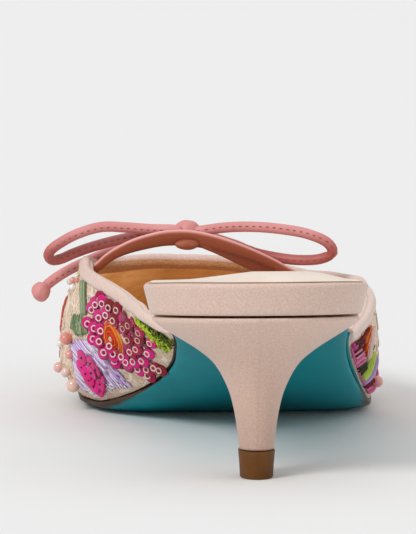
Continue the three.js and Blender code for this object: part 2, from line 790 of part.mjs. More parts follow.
const loopLeftRoute = [
  [-13.7, 153.5, 47.5],
  [-20.5, 154, 47.7],
  [-27, 154, 48.2],
  [-33.5, 153.5, 48.4],
  [-40, 153, 46.6],
  [-45.5, 152.5, 43.6],
  [-48.4, 153, 41.0],
  [-47.2, 154.6, 39.6],
  [-43, 156, 40.6],
  [-36, 157, 42.7],
  [-28.5, 157.4, 44.6],
  [-21, 157, 46.0],
  [-13.9, 156.4, 46.3],
];
const loopRightRoute = [
  [-7.4, 153.5, 47.2],
  [-1, 154, 48],
  [6, 154, 48.2],
  [14, 153.5, 47.6],
  [21.5, 153, 46.2],
  [26.6, 152.6, 43.8],
  [27.8, 153.2, 41.4],
  [25.2, 154.6, 39.6],
  [19.5, 156, 39],
  [12.5, 158.4, 39.6],
  [6, 159.4, 41.1],
  [0, 158.6, 43.6],
  [-7.2, 157, 46],
];
const tailLeftRoute = [
  [-13.4, 159.6, 45.2],
  [-21, 161, 44.6],
  [-28, 162.4, 43.6],
  [-34.5, 163, 41.7],
  [-40, 162.4, 38.2],
  [-44.2, 161, 35.0],
  [-47.2, 160.2, 32.6],
];
const tailRightRoute = [
  [-9.4, 160.3, 45.1],
  [-5, 161.7, 44.3],
  [0, 162.6, 43.2],
  [3.5, 165.5, 41.8],
  [5.8, 169.5, 40.4],
  [7.4, 173.3, 39.5],
  [9, 177.5, 37.6],
  [10.8, 182.5, 34.7],
  [12.6, 188, 32.5],
  [14.2, 193.2, 30.7],
  [14.9, 195.3, 30.2],
];

// Round knot, a little flattened
function knotBall(size, squash, place) {
  const ball = new THREE.SphereGeometry(size / 2, 14, 9);
  ball.scale(...squash);
  ball.translate(...place);
  ball.deleteAttribute('normal');
  ball.deleteAttribute('uv');
  const merged = mergeVertices(ball, 1e-3);
  const index = Array.from(merged.index.array);
  const kept = [];
  for (let i = 0; i < index.length; i += 3) {
    const [p, q, r] = index.slice(i, i + 3);
    if (p !== q && q !== r && r !== p) kept.push(p, q, r);
  }
  merged.setIndex(kept);
  return merged;
}

function part(name, geometry, colour, roughness, metalness = 0) {
  const material = new THREE.MeshStandardMaterial({ color: colour, roughness, metalness });
  const mesh = new THREE.Mesh(geometry, material);
  mesh.name = name;
  return mesh;
}

const shoe = new THREE.Group();
shoe.add(
  part('outsole', outsole(), 0x0e6a70, 0.35),
  part('footbed', footbed(), 0xd0b8ab, 0.5),
  part('sock', sock(), 0xf1e6da, 0.6),
  part('heel', heel(), 0xcdb5a9, 0.45),
  part('top_piece', topPiece(), 0x7a5428, 0.5),
  part('upper', upper(), 0xd9c3ac, 0.75),
  part('topline_binding', binding(), 0xe3d3c8, 0.45),
  part('tie_bar', tieBar(), 0xc8807f, 0.6),
);

// The origin is at the middle of the shoe itself, on the floor
const box = new THREE.Box3().setFromObject(shoe);
const middle = box.getCenter(new THREE.Vector3());

shoe.add(
  part('bow_knot', knotBall(knotSize, [0.95, 1.05, 1], [-10.6, 156.2, 46.5]), 0xc8807f, 0.6),
  part('bow_loop_left', lace(loopLeftRoute, 20), 0xc8807f, 0.6),
  part('bow_loop_right', lace(loopRightRoute, 20), 0xc8807f, 0.6),
  part('bow_tail_left', lace(tailLeftRoute, 8), 0xc8807f, 0.6),
  part('bow_tail_right', lace(tailRightRoute, 12), 0xc8807f, 0.6),
  part('tail_ball_left', knotBall(ballSize, [1, 1, 1.05], [-49.3, 159.6, 30.6]), 0xc8807f, 0.6),
  part('tail_ball_right', knotBall(ballSize, [1, 1, 0.9], [15.6, 198.1, 29.8]), 0xc8807f, 0.6),
);
shoe.position.set(-middle.x, -middle.y, -box.min.z);

export default shoe;
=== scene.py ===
import math
import random

import bmesh
import bpy
from mathutils import Matrix, Vector
from mathutils.bvhtree import BVHTree


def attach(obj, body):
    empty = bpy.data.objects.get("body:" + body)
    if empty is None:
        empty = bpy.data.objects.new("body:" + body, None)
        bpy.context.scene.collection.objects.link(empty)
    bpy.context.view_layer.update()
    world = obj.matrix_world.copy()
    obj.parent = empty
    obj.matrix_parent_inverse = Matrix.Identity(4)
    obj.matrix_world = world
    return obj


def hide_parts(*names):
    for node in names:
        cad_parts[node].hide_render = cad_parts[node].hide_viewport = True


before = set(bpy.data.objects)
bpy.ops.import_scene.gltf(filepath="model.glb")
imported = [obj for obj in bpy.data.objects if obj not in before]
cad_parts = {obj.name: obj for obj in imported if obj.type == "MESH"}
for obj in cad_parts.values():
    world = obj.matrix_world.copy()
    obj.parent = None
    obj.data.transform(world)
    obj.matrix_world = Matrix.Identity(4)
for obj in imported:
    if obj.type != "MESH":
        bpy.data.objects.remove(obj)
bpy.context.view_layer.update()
draw = random.Random(7)

# Sizes are millimetres in the shoe's own axes: x to the little toe side, y from the back of
# the footbed to the toe, z up from the floor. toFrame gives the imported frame, in metres.
frameShift = Vector((2.2242, -122.75, 0))


def toFrame(point):
    return (Vector(point) + frameShift) / 1000


# camera
view = {
    "lookAt": (0, 0, 51.1),
    "pitch": math.radians(6.5),
    "yaw": math.radians(3),
    "distance": 1700,
    "focal": 7000,  # in pixels of the photograph
    "image": (416, 534),
    "offset": (-13.26, 3.9),
}
sight = Vector(
    (
        math.sin(view["yaw"]) * math.cos(view["pitch"]),
        math.cos(view["yaw"]) * math.cos(view["pitch"]),
        -math.sin(view["pitch"]),
    )
)
sightRight = Vector((math.cos(view["yaw"]), -math.sin(view["yaw"]), 0))
sightUp = sightRight.cross(sight)
eye = Vector(view["lookAt"]) - sight * view["distance"]
eye += sightRight * view["offset"][0] + sightUp * view["offset"][1]

cameraData = bpy.data.cameras.new("camera")
cameraData.sensor_width = 36
cameraData.lens = view["focal"] * cameraData.sensor_width / max(view["image"])
cameraData.clip_end = 50
camera = bpy.data.objects.new("camera", cameraData)
bpy.context.scene.collection.objects.link(camera)
turned = Matrix((sightRight, sightUp, -sight)).transposed().to_4x4()
camera.matrix_world = Matrix.Translation(toFrame(eye)) @ turned
bpy.context.scene.camera = camera
print("camera placed")


# tools for materials
def linear(hexColour):
    shares = [int(hexColour[i : i + 2], 16) / 255 for i in (0, 2, 4)]
    return [s / 12.92 if s <= 0.04045 else ((s + 0.055) / 1.055) ** 2.4 for s in shares] + [1]


def node(tree, kind, inputs=None, **settings):
    made = tree.nodes.new(kind)
    for key, value in settings.items():
        setattr(made, key, value)
    for key, value in (inputs or {}).items():
        if isinstance(value, bpy.types.NodeSocket):
            tree.links.new(value, made.inputs[key])
        else:
            made.inputs[key].default_value = value
    return made


def newMaterial(name, colour, roughness, **sockets):
    material = bpy.data.materials.new(name)
    material.use_nodes = True
    tree = material.node_tree
    shader = tree.nodes["Principled BSDF"]
    shader.inputs["Base Color"].default_value = linear(colour)
    shader.inputs["Roughness"].default_value = roughness
    for key, value in sockets.items():
        shader.inputs[key.replace("_", " ")].default_value = value
    return material, tree, shader


def placeOn(tree, turn=(0, 0, 0)):
    spot = node(tree, "ShaderNodeTexCoord").outputs["Object"]
    return node(tree, "ShaderNodeMapping", {"Vector": spot, "Rotation": turn}).outputs["Vector"]


def partsOf(tree, source):
    spot = node(tree, "ShaderNodeTexCoord").outputs[source]
    return node(tree, "ShaderNodeSeparateXYZ", {0: spot}).outputs


def noise(tree, vector, scale, detail=3, rough=0.5):
    inputs = {"Vector": vector, "Scale": scale, "Detail": detail, "Roughness": rough}
    return node(tree, "ShaderNodeTexNoise", inputs).outputs["Fac"]


def ramp(tree, value, stops):
    made = node(tree, "ShaderNodeValToRGB", {"Fac": value})
    elements = made.color_ramp.elements
    while len(elements) < len(stops):
        elements.new(0.5)
    for element, (at, colour) in zip(elements, stops):
        element.position = at
        element.color = linear(colour)
    return made.outputs["Color"]


def blend(tree, factor, first, second, kind="MIX"):
    made = node(
        tree, "ShaderNodeMix", {"Factor": factor, "A": first}, data_type="RGBA", blend_type=kind
    )
    if isinstance(second, str):
        made.inputs["B"].default_value = linear(second)
    else:
        tree.links.new(second, made.inputs["B"])
    return made.outputs["Result"]


def reckon(tree, operation, *values):
    return node(tree, "ShaderNodeMath", dict(enumerate(values)), operation=operation).outputs[0]


def opened(material):
    # what a later layer builds on: node tree, shader, and the links for colour and normal
    tree = material.node_tree
    shader = tree.nodes["Principled BSDF"]
    under = [shader.inputs[key].links[0].from_socket for key in ("Base Color", "Normal")]
    return tree, shader, *under


def bump(tree, shader, height, strength, distance, before=None):
    inputs = {"Height": height, "Strength": strength, "Distance": distance}
    if before:
        inputs["Normal"] = before
    made = node(tree, "ShaderNodeBump", inputs)
    tree.links.new(made.outputs["Normal"], shader.inputs["Normal"])
    return made.outputs["Normal"]


def clothMaterial(name, tones, roughness, weave, sheen=0.1, creases=0.25, gloss=0.5, cloud=2400):
    # woven cloth: a fine over-and-under weave on Object coordinates, soft creases, mottled tone
    material, tree, shader = newMaterial(
        name, tones[1], roughness, Sheen_Weight=sheen, Sheen_Roughness=0.4, Specular_IOR_Level=gloss
    )
    place = placeOn(tree)
    mottle = noise(tree, place, cloud, 3, 0.6)
    stops = [(0.3, tones[0]), (0.5, tones[1]), (0.72, tones[2])]
    tree.links.new(ramp(tree, mottle, stops), shader.inputs["Base Color"])
    waves = [
        node(
            tree,
            "ShaderNodeTexWave",
            {"Vector": placeOn(tree, turn=(0, 0, angle)), "Scale": weave, "Distortion": 0.4},
            bands_direction=direction,
        ).outputs["Fac"]
        for direction, angle in (("X", 0.3), ("Z", 0))
    ]
    fine = bump(tree, shader, reckon(tree, "MULTIPLY", *waves), 0.18, 0.0001)
    bump(tree, shader, noise(tree, place, 240, 2, 0.5), creases, 0.0003, fine)
    return material


def leatherMaterial(name, tones, roughness, grain, coat=0.1, depth=0.12, gloss=0.5):
    material, tree, shader = newMaterial(
        name, tones[1], roughness, Coat_Weight=coat, Coat_Roughness=0.25, Specular_IOR_Level=gloss
    )
    place = placeOn(tree)
    stops = [(0.3, tones[0]), (0.5, tones[1]), (0.72, tones[2])]
    tree.links.new(ramp(tree, noise(tree, place, 45, 4, 0.6), stops), shader.inputs["Base Color"])
    cells = node(tree, "ShaderNodeTexVoronoi", {"Vector": place, "Scale": grain})
    fine = bump(tree, shader, cells.outputs["Distance"], depth, 0.0002)
    bump(tree, shader, noise(tree, place, grain * 0.3, 3, 0.6), depth, 0.0002, fine)
    return material


def shadeAlong(material, axis, scale, start, stops):
    # painted light and shade laid over a material along an axis; place * scale + start runs along
    # the stops
    tree, shader, ground, _ = opened(material)
    reach = reckon(tree, "MULTIPLY_ADD", partsOf(tree, "Object")[axis], scale, start)
    shaded = blend(tree, 1, ground, ramp(tree, reach, stops), "MULTIPLY")
    tree.links.new(shaded, shader.inputs["Base Color"])


satinSeat = clothMaterial("satinSeat", ("C7A99A", "D2B6A8", "DCC4B7"), 0.45, 900, 0.1, 0.1)
satinHeel = clothMaterial("satinHeel", ("CAAB9B", "D6B9AA", "DEC6B8"), 0.45, 900, 0.1, 0.1)
# painted shade: a little darker and browner down the stem, where less light reaches it
shadeAlong(satinHeel, 2, 20, 0, [(0.1, "D8D0CC"), (0.4, "EEE8E4"), (0.8, "FFFFFF")])
satinBinding = clothMaterial("satinBinding", ("D0B4A6", "DAC0B4", "E4CFC4"), 0.42, 900, 0.1, 0.1)
liningSatin = clothMaterial(
    "liningSatin", ("C08C50", "E4B880", "F8DCB4"), 0.5, 500, 0.3, 0.5, 0.4, 170
)
facingCloth = clothMaterial("facingCloth", ("98602E", "B47C4A", "C8986A"), 0.6, 700, 0.2)

# painted light and shade: paler towards the inner side, where light falls on the inner wall, deep
# amber in the middle
shadeAlong(liningSatin, 0, 20, 0.8, [(0.3, "FFFFFF"), (0.55, "C49454"), (1, "D0A46C")])

# painted light: a faint amber glow on the lining stands in for daylight coming through the lace
# mesh
paintedGlow = liningSatin.node_tree.nodes["Principled BSDF"]
paintedGlow.inputs["Emission Color"].default_value = linear("D08E38")
paintedGlow.inputs["Emission Strength"].default_value = 0.25


def stitchedLace(name, tones, shade):
    # soft leather lace, painted darker low down as shade, with one row of stitch holes down its
    # face
    material = leatherMaterial(name, tones, 0.5, 2600, 0.02)
    shadeAlong(material, 2, 20, 0, shade)
    tree, shader, shaded, grain = opened(material)
    around, along, _ = partsOf(tree, "UV")
    beat = reckon(tree, "PINGPONG", along, 0.5)
    dash = ramp(tree, beat, [(0.14, "FFFFFF"), (0.24, "000000")])
    row = [(0.75, "000000"), (0.765, "FFFFFF"), (0.78, "FFFFFF"), (0.795, "000000")]
    hole = reckon(tree, "MULTIPLY", dash, ramp(tree, around, row))
    tree.links.new(blend(tree, hole, shaded, "A4605A"), shader.inputs["Base Color"])
    bump(tree, shader, reckon(tree, "SUBTRACT", 1.0, hole), 0.8, 0.0004, grain)
    return material


laceTones = ("CA7E7A", "D48C8A", "E0A09E")
# painted shade: the loops darker below their tops, the tails a little darker low down
loopLeather = stitchedLace("loopLeather", laceTones, [(0.84, "D2A8A0"), (0.94, "FFFFFF")])
tailLeather = stitchedLace("tailLeather", laceTones, [(0.6, "F4E4E0"), (0.8, "FFFFFF")])
knotLeather = leatherMaterial("knotLeather", laceTones, 0.5, 2600, 0.02)
strapLeather = leatherMaterial("strapLeather", laceTones, 0.55, 2600, 0.02)
tree, shader, _, _ = opened(strapLeather)
# painted shade and reflection: dark red on the face turned down and to the heel, in shade and
# taking amber light off the lining; pink where light falls on the upper edge
faces = [
    (0.0, "74300F"), (0.2, "8A4020"), (0.34, "9A4C30"), (0.42, "DC9A94"), (0.52, "EAB4B0"),
    (0.66, "C07468"), (1, "74300F"),
]
tree.links.new(ramp(tree, partsOf(tree, "UV")[0], faces), shader.inputs["Base Color"])
# painted shade: a dark copy of the lace leather for the turn in shade under the bar
shadedFoldLeather = leatherMaterial("shadedFoldLeather", ("7A3418", "8E4426", "A05638"), 0.55, 2600, 0.02)
cutEdge = leatherMaterial("cutEdge", ("B08C6A", "C4A282", "D4B89C"), 0.7, 2400, 0)
sockLeather = leatherMaterial("sockLeather", ("E2D2C4", "EADCD0", "F2E8DE"), 0.6, 2200, 0.02)
tipRubber = leatherMaterial("tipRubber", ("4E2A06", "643C0E", "744C1C"), 0.55, 1800, 0, 0.12, 0.25)

# sole: smooth teal leather, its sawn edge brown towards the toe
soleLeather = leatherMaterial(
    "soleLeather", ("007E88", "008892", "00929C"), 0.42, 1500, 0, 0.05, 0.09
)
tree, shader, teal, _ = opened(soleLeather)
edgeShare = node(tree, "ShaderNodeAttribute", attribute_name="tint").outputs["Fac"]
tree.links.new(blend(tree, edgeShare, teal, "4A3A2E"), shader.inputs["Base Color"])
sawnLeather = leatherMaterial("sawnLeather", ("3E3026", "4A3A2E", "584638"), 0.7, 1800, 0)

# mesh: fine net over the lining, with raised cream cording in small cells
meshCloth = clothMaterial("meshCloth", ("C09872", "D0AC8A", "DEC2A4"), 0.75, 800, 0.1)
tree, shader, ground, soft = opened(meshCloth)
place = placeOn(tree)
for scale, width, tone, rise in ((1150, 0.09, "E6D6C4", 0.0001), (210, 0.055, "F2E2D2", 0.0004)):
    swirl = node(tree, "ShaderNodeTexNoise", {"Vector": place, "Scale": scale * 0.6})
    bent = blend(tree, 0.0006, place, swirl.outputs["Color"], "ADD")
    cells = node(
        tree, "ShaderNodeTexVoronoi", {"Vector": bent, "Scale": scale}, feature="DISTANCE_TO_EDGE"
    ).outputs["Distance"]
    line = ramp(tree, cells, [(0.0, "FFFFFF"), (width, "B0B0B0"), (width * 1.8, "000000")])
    ground = blend(tree, line, ground, tone)
    soft = bump(tree, shader, line, 0.6, rise, soft)
tree.links.new(ground, shader.inputs["Base Color"])


# tools for meshes
def newPiece(name, bm, materials):
    mesh = bpy.data.meshes.new(name)
    bm.to_mesh(mesh)
    bm.free()
    for material in materials:
        mesh.materials.append(material)
    mesh.shade_smooth()
    piece = bpy.data.objects.new(name, mesh)
    bpy.context.scene.collection.objects.link(piece)
    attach(piece, "root")
    return piece


def sheet(bm, columns, rows, pointAt, material=0, tintAt=None):
    # a grid whose points go to pointAt(u, v), u and v from 0 to 1; u and v stay as its UV map
    bm.loops.layers.uv.verify()
    if tintAt:
        tint = bm.verts.layers.float_color.new("tint")
    made = bmesh.ops.create_grid(bm, x_segments=columns, y_segments=rows, size=0.5, calc_uvs=True)
    for vert in made["verts"]:
        u, v = round(vert.co.x + 0.5, 6), round(vert.co.y + 0.5, 6)
        vert.co = toFrame(pointAt(u, v))
        if tintAt:
            vert[tint] = [tintAt(vert.co.y * 1000 - frameShift.y, v)] * 3 + [1]
    for face in {face for vert in made["verts"] for face in vert.link_faces}:
        face.material_index = material
    return made["verts"]


def closeUp(bm):
    bmesh.ops.remove_doubles(bm, verts=bm.verts, dist=3e-6)
    bmesh.ops.dissolve_degenerate(bm, edges=bm.edges, dist=1e-7)
    bmesh.ops.recalc_face_normals(bm, faces=bm.faces)


def mix(a, b, share):
    return a + (b - a) * share


def clamp(value, low=0.0, high=1.0):
    return min(max(value, low), high)


def smooth(value, start, end):
    t = clamp((value - start) / (end - start))
    return t * t * (3 - 2 * t)


def curveThrough(pairs):
    # smooth monotone curve through (place, value) pairs
    at = [pair[0] for pair in pairs]
    value = [pair[1] for pair in pairs]
    last = len(at) - 1
    chord = [(value[i + 1] - value[i]) / (at[i + 1] - at[i]) for i in range(last)]
    slope = []
    for i in range(last + 1):
        before, after = chord[max(i - 1, 0)], chord[min(i, last - 1)]
        slope.append(0 if before * after <= 0 else 2 * before * after / (before + after))

    def curve(where):
        x = clamp(where, at[0], at[last])
        i = 0
        while i < last - 1 and x > at[i + 1]:
            i += 1
        width = at[i + 1] - at[i]
        t = (x - at[i]) / width
        hold = (1 + 2 * t) * (1 - t) ** 2 * value[i] + t * t * (3 - 2 * t) * value[i + 1]
        return hold + width * t * (1 - t) * ((1 - t) * slope[i] - t * slope[i + 1])

    return curve


def columnCurve(rows, column):
    return curveThrough([(row[0], row[column]) for row in rows])


def splineThrough(points, count):
    # evenly spread points on a smooth curve through the given ones
    stops = [Vector(point) for point in points]
    stops = [stops[0] * 2 - stops[1]] + stops + [stops[-1] * 2 - stops[-2]]
    dense = []
    for a, b, c, d in zip(stops, stops[1:], stops[2:], stops[3:]):
        ks = [0.0]
        for first, second in ((a, b), (b, c), (c, d)):
            ks.append(ks[-1] + max((second - first).length, 1e-6) ** 0.5)
        for step in range(24):
            t = mix(ks[1], ks[2], step / 24)
            ab = a.lerp(b, (t - ks[0]) / (ks[1] - ks[0]))
            bc = b.lerp(c, (t - ks[1]) / (ks[2] - ks[1]))
            cd = c.lerp(d, (t - ks[2]) / (ks[3] - ks[2]))
            abc = ab.lerp(bc, (t - ks[0]) / (ks[2] - ks[0]))
            bcd = bc.lerp(cd, (t - ks[1]) / (ks[3] - ks[1]))
            dense.append(abc.lerp(bcd, (t - ks[1]) / (ks[2] - ks[1])))
    dense.append(stops[-2])
    reach = [0.0]
    for first, second in zip(dense, dense[1:]):
        reach.append(reach[-1] + (second - first).length)
    spread = []
    i = 0
    for step in range(count + 1):
        goal = reach[-1] * step / count
        while i < len(dense) - 2 and reach[i + 1] < goal:
            i += 1
        share = (goal - reach[i]) / max(reach[i + 1] - reach[i], 1e-9)
        spread.append(dense[i].lerp(dense[i + 1], clamp(share)))
    return spread


# cords: the free lace of the bow, along the routes of the solids
lace = {
    "diameter": 2.8,
    "around": 20,
    "holePitch": 1.8,
    "loopLeft": [
        (-12.4, 154.4, 47.0), (-13.7, 153.5, 47.5), (-20.5, 154, 47.7), (-27, 154, 48.2),
        (-33.5, 153.5, 48.4),
        (-40, 153, 46.6), (-44.6, 152.5, 44.2), (-46.9, 152.6, 42.4), (-47.5, 153.5, 40.7),
        (-46.4, 154.8, 39.5), (-44.2, 155.7, 39.7), (-41, 156.3, 41.0), (-36, 157, 42.7),
        (-28.5, 157.4, 44.6), (-21, 157, 46.0),
        (-13.9, 156.4, 46.3), (-12.4, 156.3, 46.2),
    ],
    "loopRight": [
        (-8.9, 154.4, 46.9), (-7.4, 153.5, 47.2), (-1, 154, 48), (6, 154, 48.2), (14, 153.5, 47.6),
        (21.5, 153, 46.2), (26.6, 152.6, 43.8), (27.8, 153.2, 41.4), (25.2, 154.6, 39.6),
        (19.5, 156, 39), (12.5, 158.4, 39.6), (6, 159.4, 41.1), (0, 158.6, 43.6),
        (-7.2, 157, 46), (-8.8, 156.6, 46.2),
    ],
    "tailLeft": [
        (-11.9, 158.6, 45.6), (-13.4, 159.6, 45.2), (-19, 160.6, 44.5), (-24.4, 161, 43.1),
        (-28.5, 161.4, 41.7), (-32.7, 161.6, 40.2), (-36.8, 161.4, 38.5), (-40.4, 161, 36.9),
        (-43.9, 160.6, 35.0), (-47.1, 160.2, 32.8), (-48.6, 159.8, 31.4),
    ],
    "tailRight": [
        (-10.0, 158.8, 45.7), (-9.4, 160.3, 45.1), (-5, 161.7, 44.3), (0, 162.6, 43.2),
        (3.5, 165.5, 41.8), (5.8, 169.5, 40.4), (7.4, 173.3, 39.5), (9, 177.5, 37.6),
        (10.8, 182.5, 34.7), (12.6, 188, 32.5), (14.2, 193.2, 30.7), (14.9, 195.3, 30.2),
        (15.3, 196.9, 29.9),
    ],
    "ballLeft": (-49.3, 159.6, 30.6),
    "ballRight": (15.6, 198.1, 29.8),
    "ballSize": 5,
}


def tube(name, route, node, count, material):
    path = splineThrough(route, count)
    length = sum((b - a).length for a, b in zip(path, path[1:]))
    radius = lace["diameter"] / 2
    bm = bmesh.new()

    def pointAt(u, v):
        place = clamp(v) * count
        i = min(int(place), count - 1)
        centre = path[i].lerp(path[i + 1], place - i)
        ahead = path[min(i + 1, count)] - path[max(i - 1, 0)]
        across = ahead.cross(Vector((0, 1, 0))).normalized()  # the seam side faces the heel
        face = across.cross(ahead).normalized()
        end = min(v, 1 - v) * length
        size = radius * (1 if end > radius else math.sqrt(max(1 - (1 - end / radius) ** 2, 0)))
        angle = u * math.tau
        return centre + (across * math.cos(angle) + face * math.sin(angle)) * size

    sheet(bm, lace["around"], count, pointAt)
    spots = bm.loops.layers.uv.verify()
    for face in bm.faces:
        for loop in face.loops:
            loop[spots].uv.y *= length / lace["holePitch"]
    closeUp(bm)
    piece = newPiece(name, bm, [material])
    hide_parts(node)
    line = [toFrame(point) for point in path]
    print(name, "is", round(length, 1), "mm long")
    return piece


def knot(name, node, centre, size, squash, material=knotLeather):
    bm = bmesh.new()
    bm.loops.layers.uv.verify()
    bmesh.ops.create_uvsphere(bm, u_segments=32, v_segments=20, radius=size / 2000, calc_uvs=True)
    for vert in bm.verts:
        x, y, z = vert.co
        lean = math.atan2(z, x) + 500 * y
        wrap = 1 + 0.035 * math.sin(3 * lean) + 0.015 * math.sin(7 * lean)  # folds of the lace
        vert.co = Vector((x * squash[0], y * squash[1], z * squash[2])) * wrap + toFrame(centre)
    piece = newPiece(name, bm, [material])
    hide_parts(node)
    return piece


bowKnot = knot("bowKnot", "bow_knot", (-10.6, 156.2, 46.7), 6.6, (1.08, 1, 0.96))
ballLeft = knot("ballLeft", "tail_ball_left", lace["ballLeft"], lace["ballSize"], (1, 1, 1.05))
ballRight = knot("ballRight", "tail_ball_right", lace["ballRight"], lace["ballSize"], (1, 1, 0.9))
tube("loopLeft", lace["loopLeft"], "bow_loop_left", 90, loopLeather)
tube("loopRight", lace["loopRight"], "bow_loop_right", 90, loopLeather)
tube("tailLeft", lace["tailLeft"], "bow_tail_left", 44, tailLeather)
tube("tailRight", lace["tailRight"], "bow_tail_right", 44, tailLeather)
print("bow tied")

# the last and the sole
shoe = {
    "length": 245,
    "ball": 77,
    "waist": 45,
    "seat": 56,
    "seatLength": 52,
    "seatRound": 27,
    "toeRound": 30,
    "toeDrop": 15,
    "toeSwing": 6,
    "heelHeight": 43,
    "toeSpring": 7.4,
    "flatStart": 147,
    "flatEnd": 187,
    "instep": 47,
    "seatTaper": 1.9,
    "seatThickness": 8,
    "foreThickness": 3.5,
    "outsoleThickness": 2.8,
    "sockThickness": 1.2,
    "sockCrown": 0.5,
    "wall": 2,
    "lastRoom": 1.4,
    "gap": 0.3,
    "edgeTuck": 0.8,
    "edgeReveal": 0.5,
    "archCrown": 1.2,
    # share of the length, the width it follows, half widths on the inner and the outer side
    "outline": [
        (0.0, "seat", 0.49, 0.49), (0.11, "seat", 0.5, 0.5), (0.185, "seat", 0.47, 0.498),
        (0.245, "waist", 0.505, 0.607), (0.295, "waist", 0.435, 0.598),
        (0.345, "waist", 0.391, 0.604), (0.395, "waist", 0.385, 0.632),
        (0.45, "waist", 0.431, 0.684), (0.5, "ball", 0.305, 0.43), (0.55, "ball", 0.382, 0.459),
        (0.6, "ball", 0.457, 0.482), (0.65, "ball", 0.502, 0.492), (0.7, "ball", 0.5, 0.488),
        (0.76, "ball", 0.462, 0.46), (0.82, "ball", 0.395, 0.405), (0.88, "ball", 0.308, 0.33),
        (0.94, "ball", 0.21, 0.24), (1.0, "ball", 0.115, 0.14),
    ],
    "swing": [(0, 0), (0.66, 0), (0.8, 0.22), (0.92, 0.68), (1, 1)],
    # share of the length, rise of the sole, thickness of the footbed
    "arch": [
        (0, 1, 1), (0.1, 0.941, 1), (0.204, 0.88, 1), (0.245, 0.82, 0.86), (0.286, 0.737, 0.64),
        (0.327, 0.634, 0.42), (0.367, 0.524, 0.24), (0.408, 0.411, 0.12), (0.449, 0.3, 0.04),
        (0.49, 0.196, 0), (0.531, 0.102, 0), (0.571, 0.03, 0), (0.6, 0, 0), (1, 0, 0),
    ],
    # share, bulge on the inner and outer side, widest line, crest, ridge, squareness of each side
    "last": [
        (0.3, 0.03, 0.03, 0.13, 0.96, 0.05, 3, 2.6),
        (0.36, 0.085, 0.033, 0.2, 0.98, 0.07, 3, 2.6),
        (0.43, 0.125, 0.035, 0.29, 1, 0.09, 3, 2.6),
        (0.49, 0.128, 0.039, 0.32, 1, 0.1, 3, 2.6),
        (0.55, 0.112, 0.037, 0.285, 1, 0.105, 3, 2.6),
        (0.61, 0.088, 0.029, 0.245, 1, 0.11, 2.9, 2.6),
        (0.665, 0.066, 0.024, 0.225, 0.87, 0.14, 2.5, 2.35),
        (0.71, 0.054, 0.024, 0.21, 0.74, 0.15, 2.35, 2.15),
        (0.78, 0.04, 0.027, 0.19, 0.61, 0.13, 2.3, 2.1),
        (0.85, 0.034, 0.03, 0.16, 0.52, 0.105, 2.2, 2.1),
        (0.92, 0.028, 0.03, 0.13, 0.43, 0.09, 2.2, 2.1),
        (1, 0.02, 0.02, 0.1, 0.34, 0.08, 2.2, 2.1),
    ],
    # turn over the last (-1 sole edge, 0 widest, 1 crest) and where the topline crosses it
    "toplineInner": [
        (-1, 0.318), (-0.8, 0.33), (-0.6, 0.343), (-0.21, 0.367), (0, 0.396), (0.067, 0.434),
        (0.15, 0.47), (0.37, 0.545), (0.51, 0.603), (0.66, 0.665), (0.79, 0.692), (1, 0.71),
    ],
    "toplineOuter": [
        (-1, 0.318), (-0.74, 0.359), (-0.385, 0.396), (-0.15, 0.433), (0, 0.453), (0.057, 0.469),
        (0.19, 0.51), (0.37, 0.58), (0.43, 0.62), (0.51, 0.653), (0.59, 0.678), (0.67, 0.698),
        (0.88, 0.71), (1, 0.71),
    ],
}
length = shoe["length"]
outlineAt = {
    side: curveThrough([(row[0], shoe[row[1]] * row[column]) for row in shoe["outline"]])
    for side, column in ((-1, 2), (1, 3))
}
swingAt = curveThrough(shoe["swing"])
riseAt, thickAt = [columnCurve(shoe["arch"], column) for column in (1, 2)]
lastAt = [columnCurve(shoe["last"], column) for column in range(1, 8)]
toplineStart = {-1: curveThrough(shoe["toplineInner"]), 1: curveThrough(shoe["toplineOuter"])}


def roundOff(distance, span):
    share = clamp(distance / span)
    return math.sqrt(1 - share * share)


def toeClose(y):
    return roundOff(y - (length - shoe["toeRound"]), shoe["toeRound"])


def middleAt(y):
    return -shoe["toeSwing"] * swingAt(y / length)


def halfAt(side, y):
    back = roundOff(shoe["seatRound"] - y, shoe["seatRound"])
    return outlineAt[side](y / length) * back * toeClose(y)


def underside(y):
    stack = shoe["outsoleThickness"] + shoe["gap"]
    spring = shoe["toeSpring"] * max(0, (y - shoe["flatEnd"]) / (length - shoe["flatEnd"])) ** 2
    return stack + (shoe["heelHeight"] - stack) * riseAt(y / length) + spring


def footbedTop(y):
    return underside(y) + mix(shoe["foreThickness"], shoe["seatThickness"], thickAt(y / length))


def outlinePoint(side, y, inset):
    ballEnd = shoe["flatEnd"]
    seatRound = shoe["seatRound"]
    place = y
    if y < seatRound:
        place = seatRound - (seatRound - y) * (1 - inset / seatRound)
    if y > ballEnd:
        place = ballEnd + (y - ballEnd) * (1 - inset / (length - ballEnd))
    full = halfAt(side, y)
    waist = clamp(min(y / seatRound, (length - y) / (length - ballEnd)))
    reference = outlineAt[side](clamp(y, seatRound, ballEnd) / length)
    half = full - inset if waist >= 1 else full * (1 - inset / reference)
    return middleAt(y) + side * half, place


def lastPoint(side, y, turn):
    share = y / length
    outInner, outOuter, widestAt, crestAt, ridgeAt, squareInner, squareOuter = lastAt
    close = toeClose(y)
    drop = roundOff(y - (length - shoe["toeDrop"]), shoe["toeDrop"])
    middle = middleAt(y)
    out = shoe["ball"] * (outInner if side < 0 else outOuter)(share) * close
    feather = middle + side * halfAt(side, y)
    widestX = feather + side * out
    base = underside(y)
    crest = shoe["instep"] * crestAt(share) * drop
    widest = min(shoe["instep"] * widestAt(share) * drop, crest)
    if turn <= 0:
        x = feather + side * out * (1 - (-turn) ** 1.8)
        return Vector((x, y, base + widest * (1 + turn)))
    angle = math.pi / 2 * min(turn, 1) ** 1.4
    power = 2 / (squareInner if side < 0 else squareOuter)(share)
    ridge = middle - (shoe["ball"] * ridgeAt(share) - shoe["toeSwing"] * swingAt(share)) * close
    reach = 0 if turn >= 1 else math.cos(angle) ** power
    height = base + widest + (crest - widest) * math.sin(angle) ** power
    return Vector((ridge + (widestX - ridge) * reach, y, height))


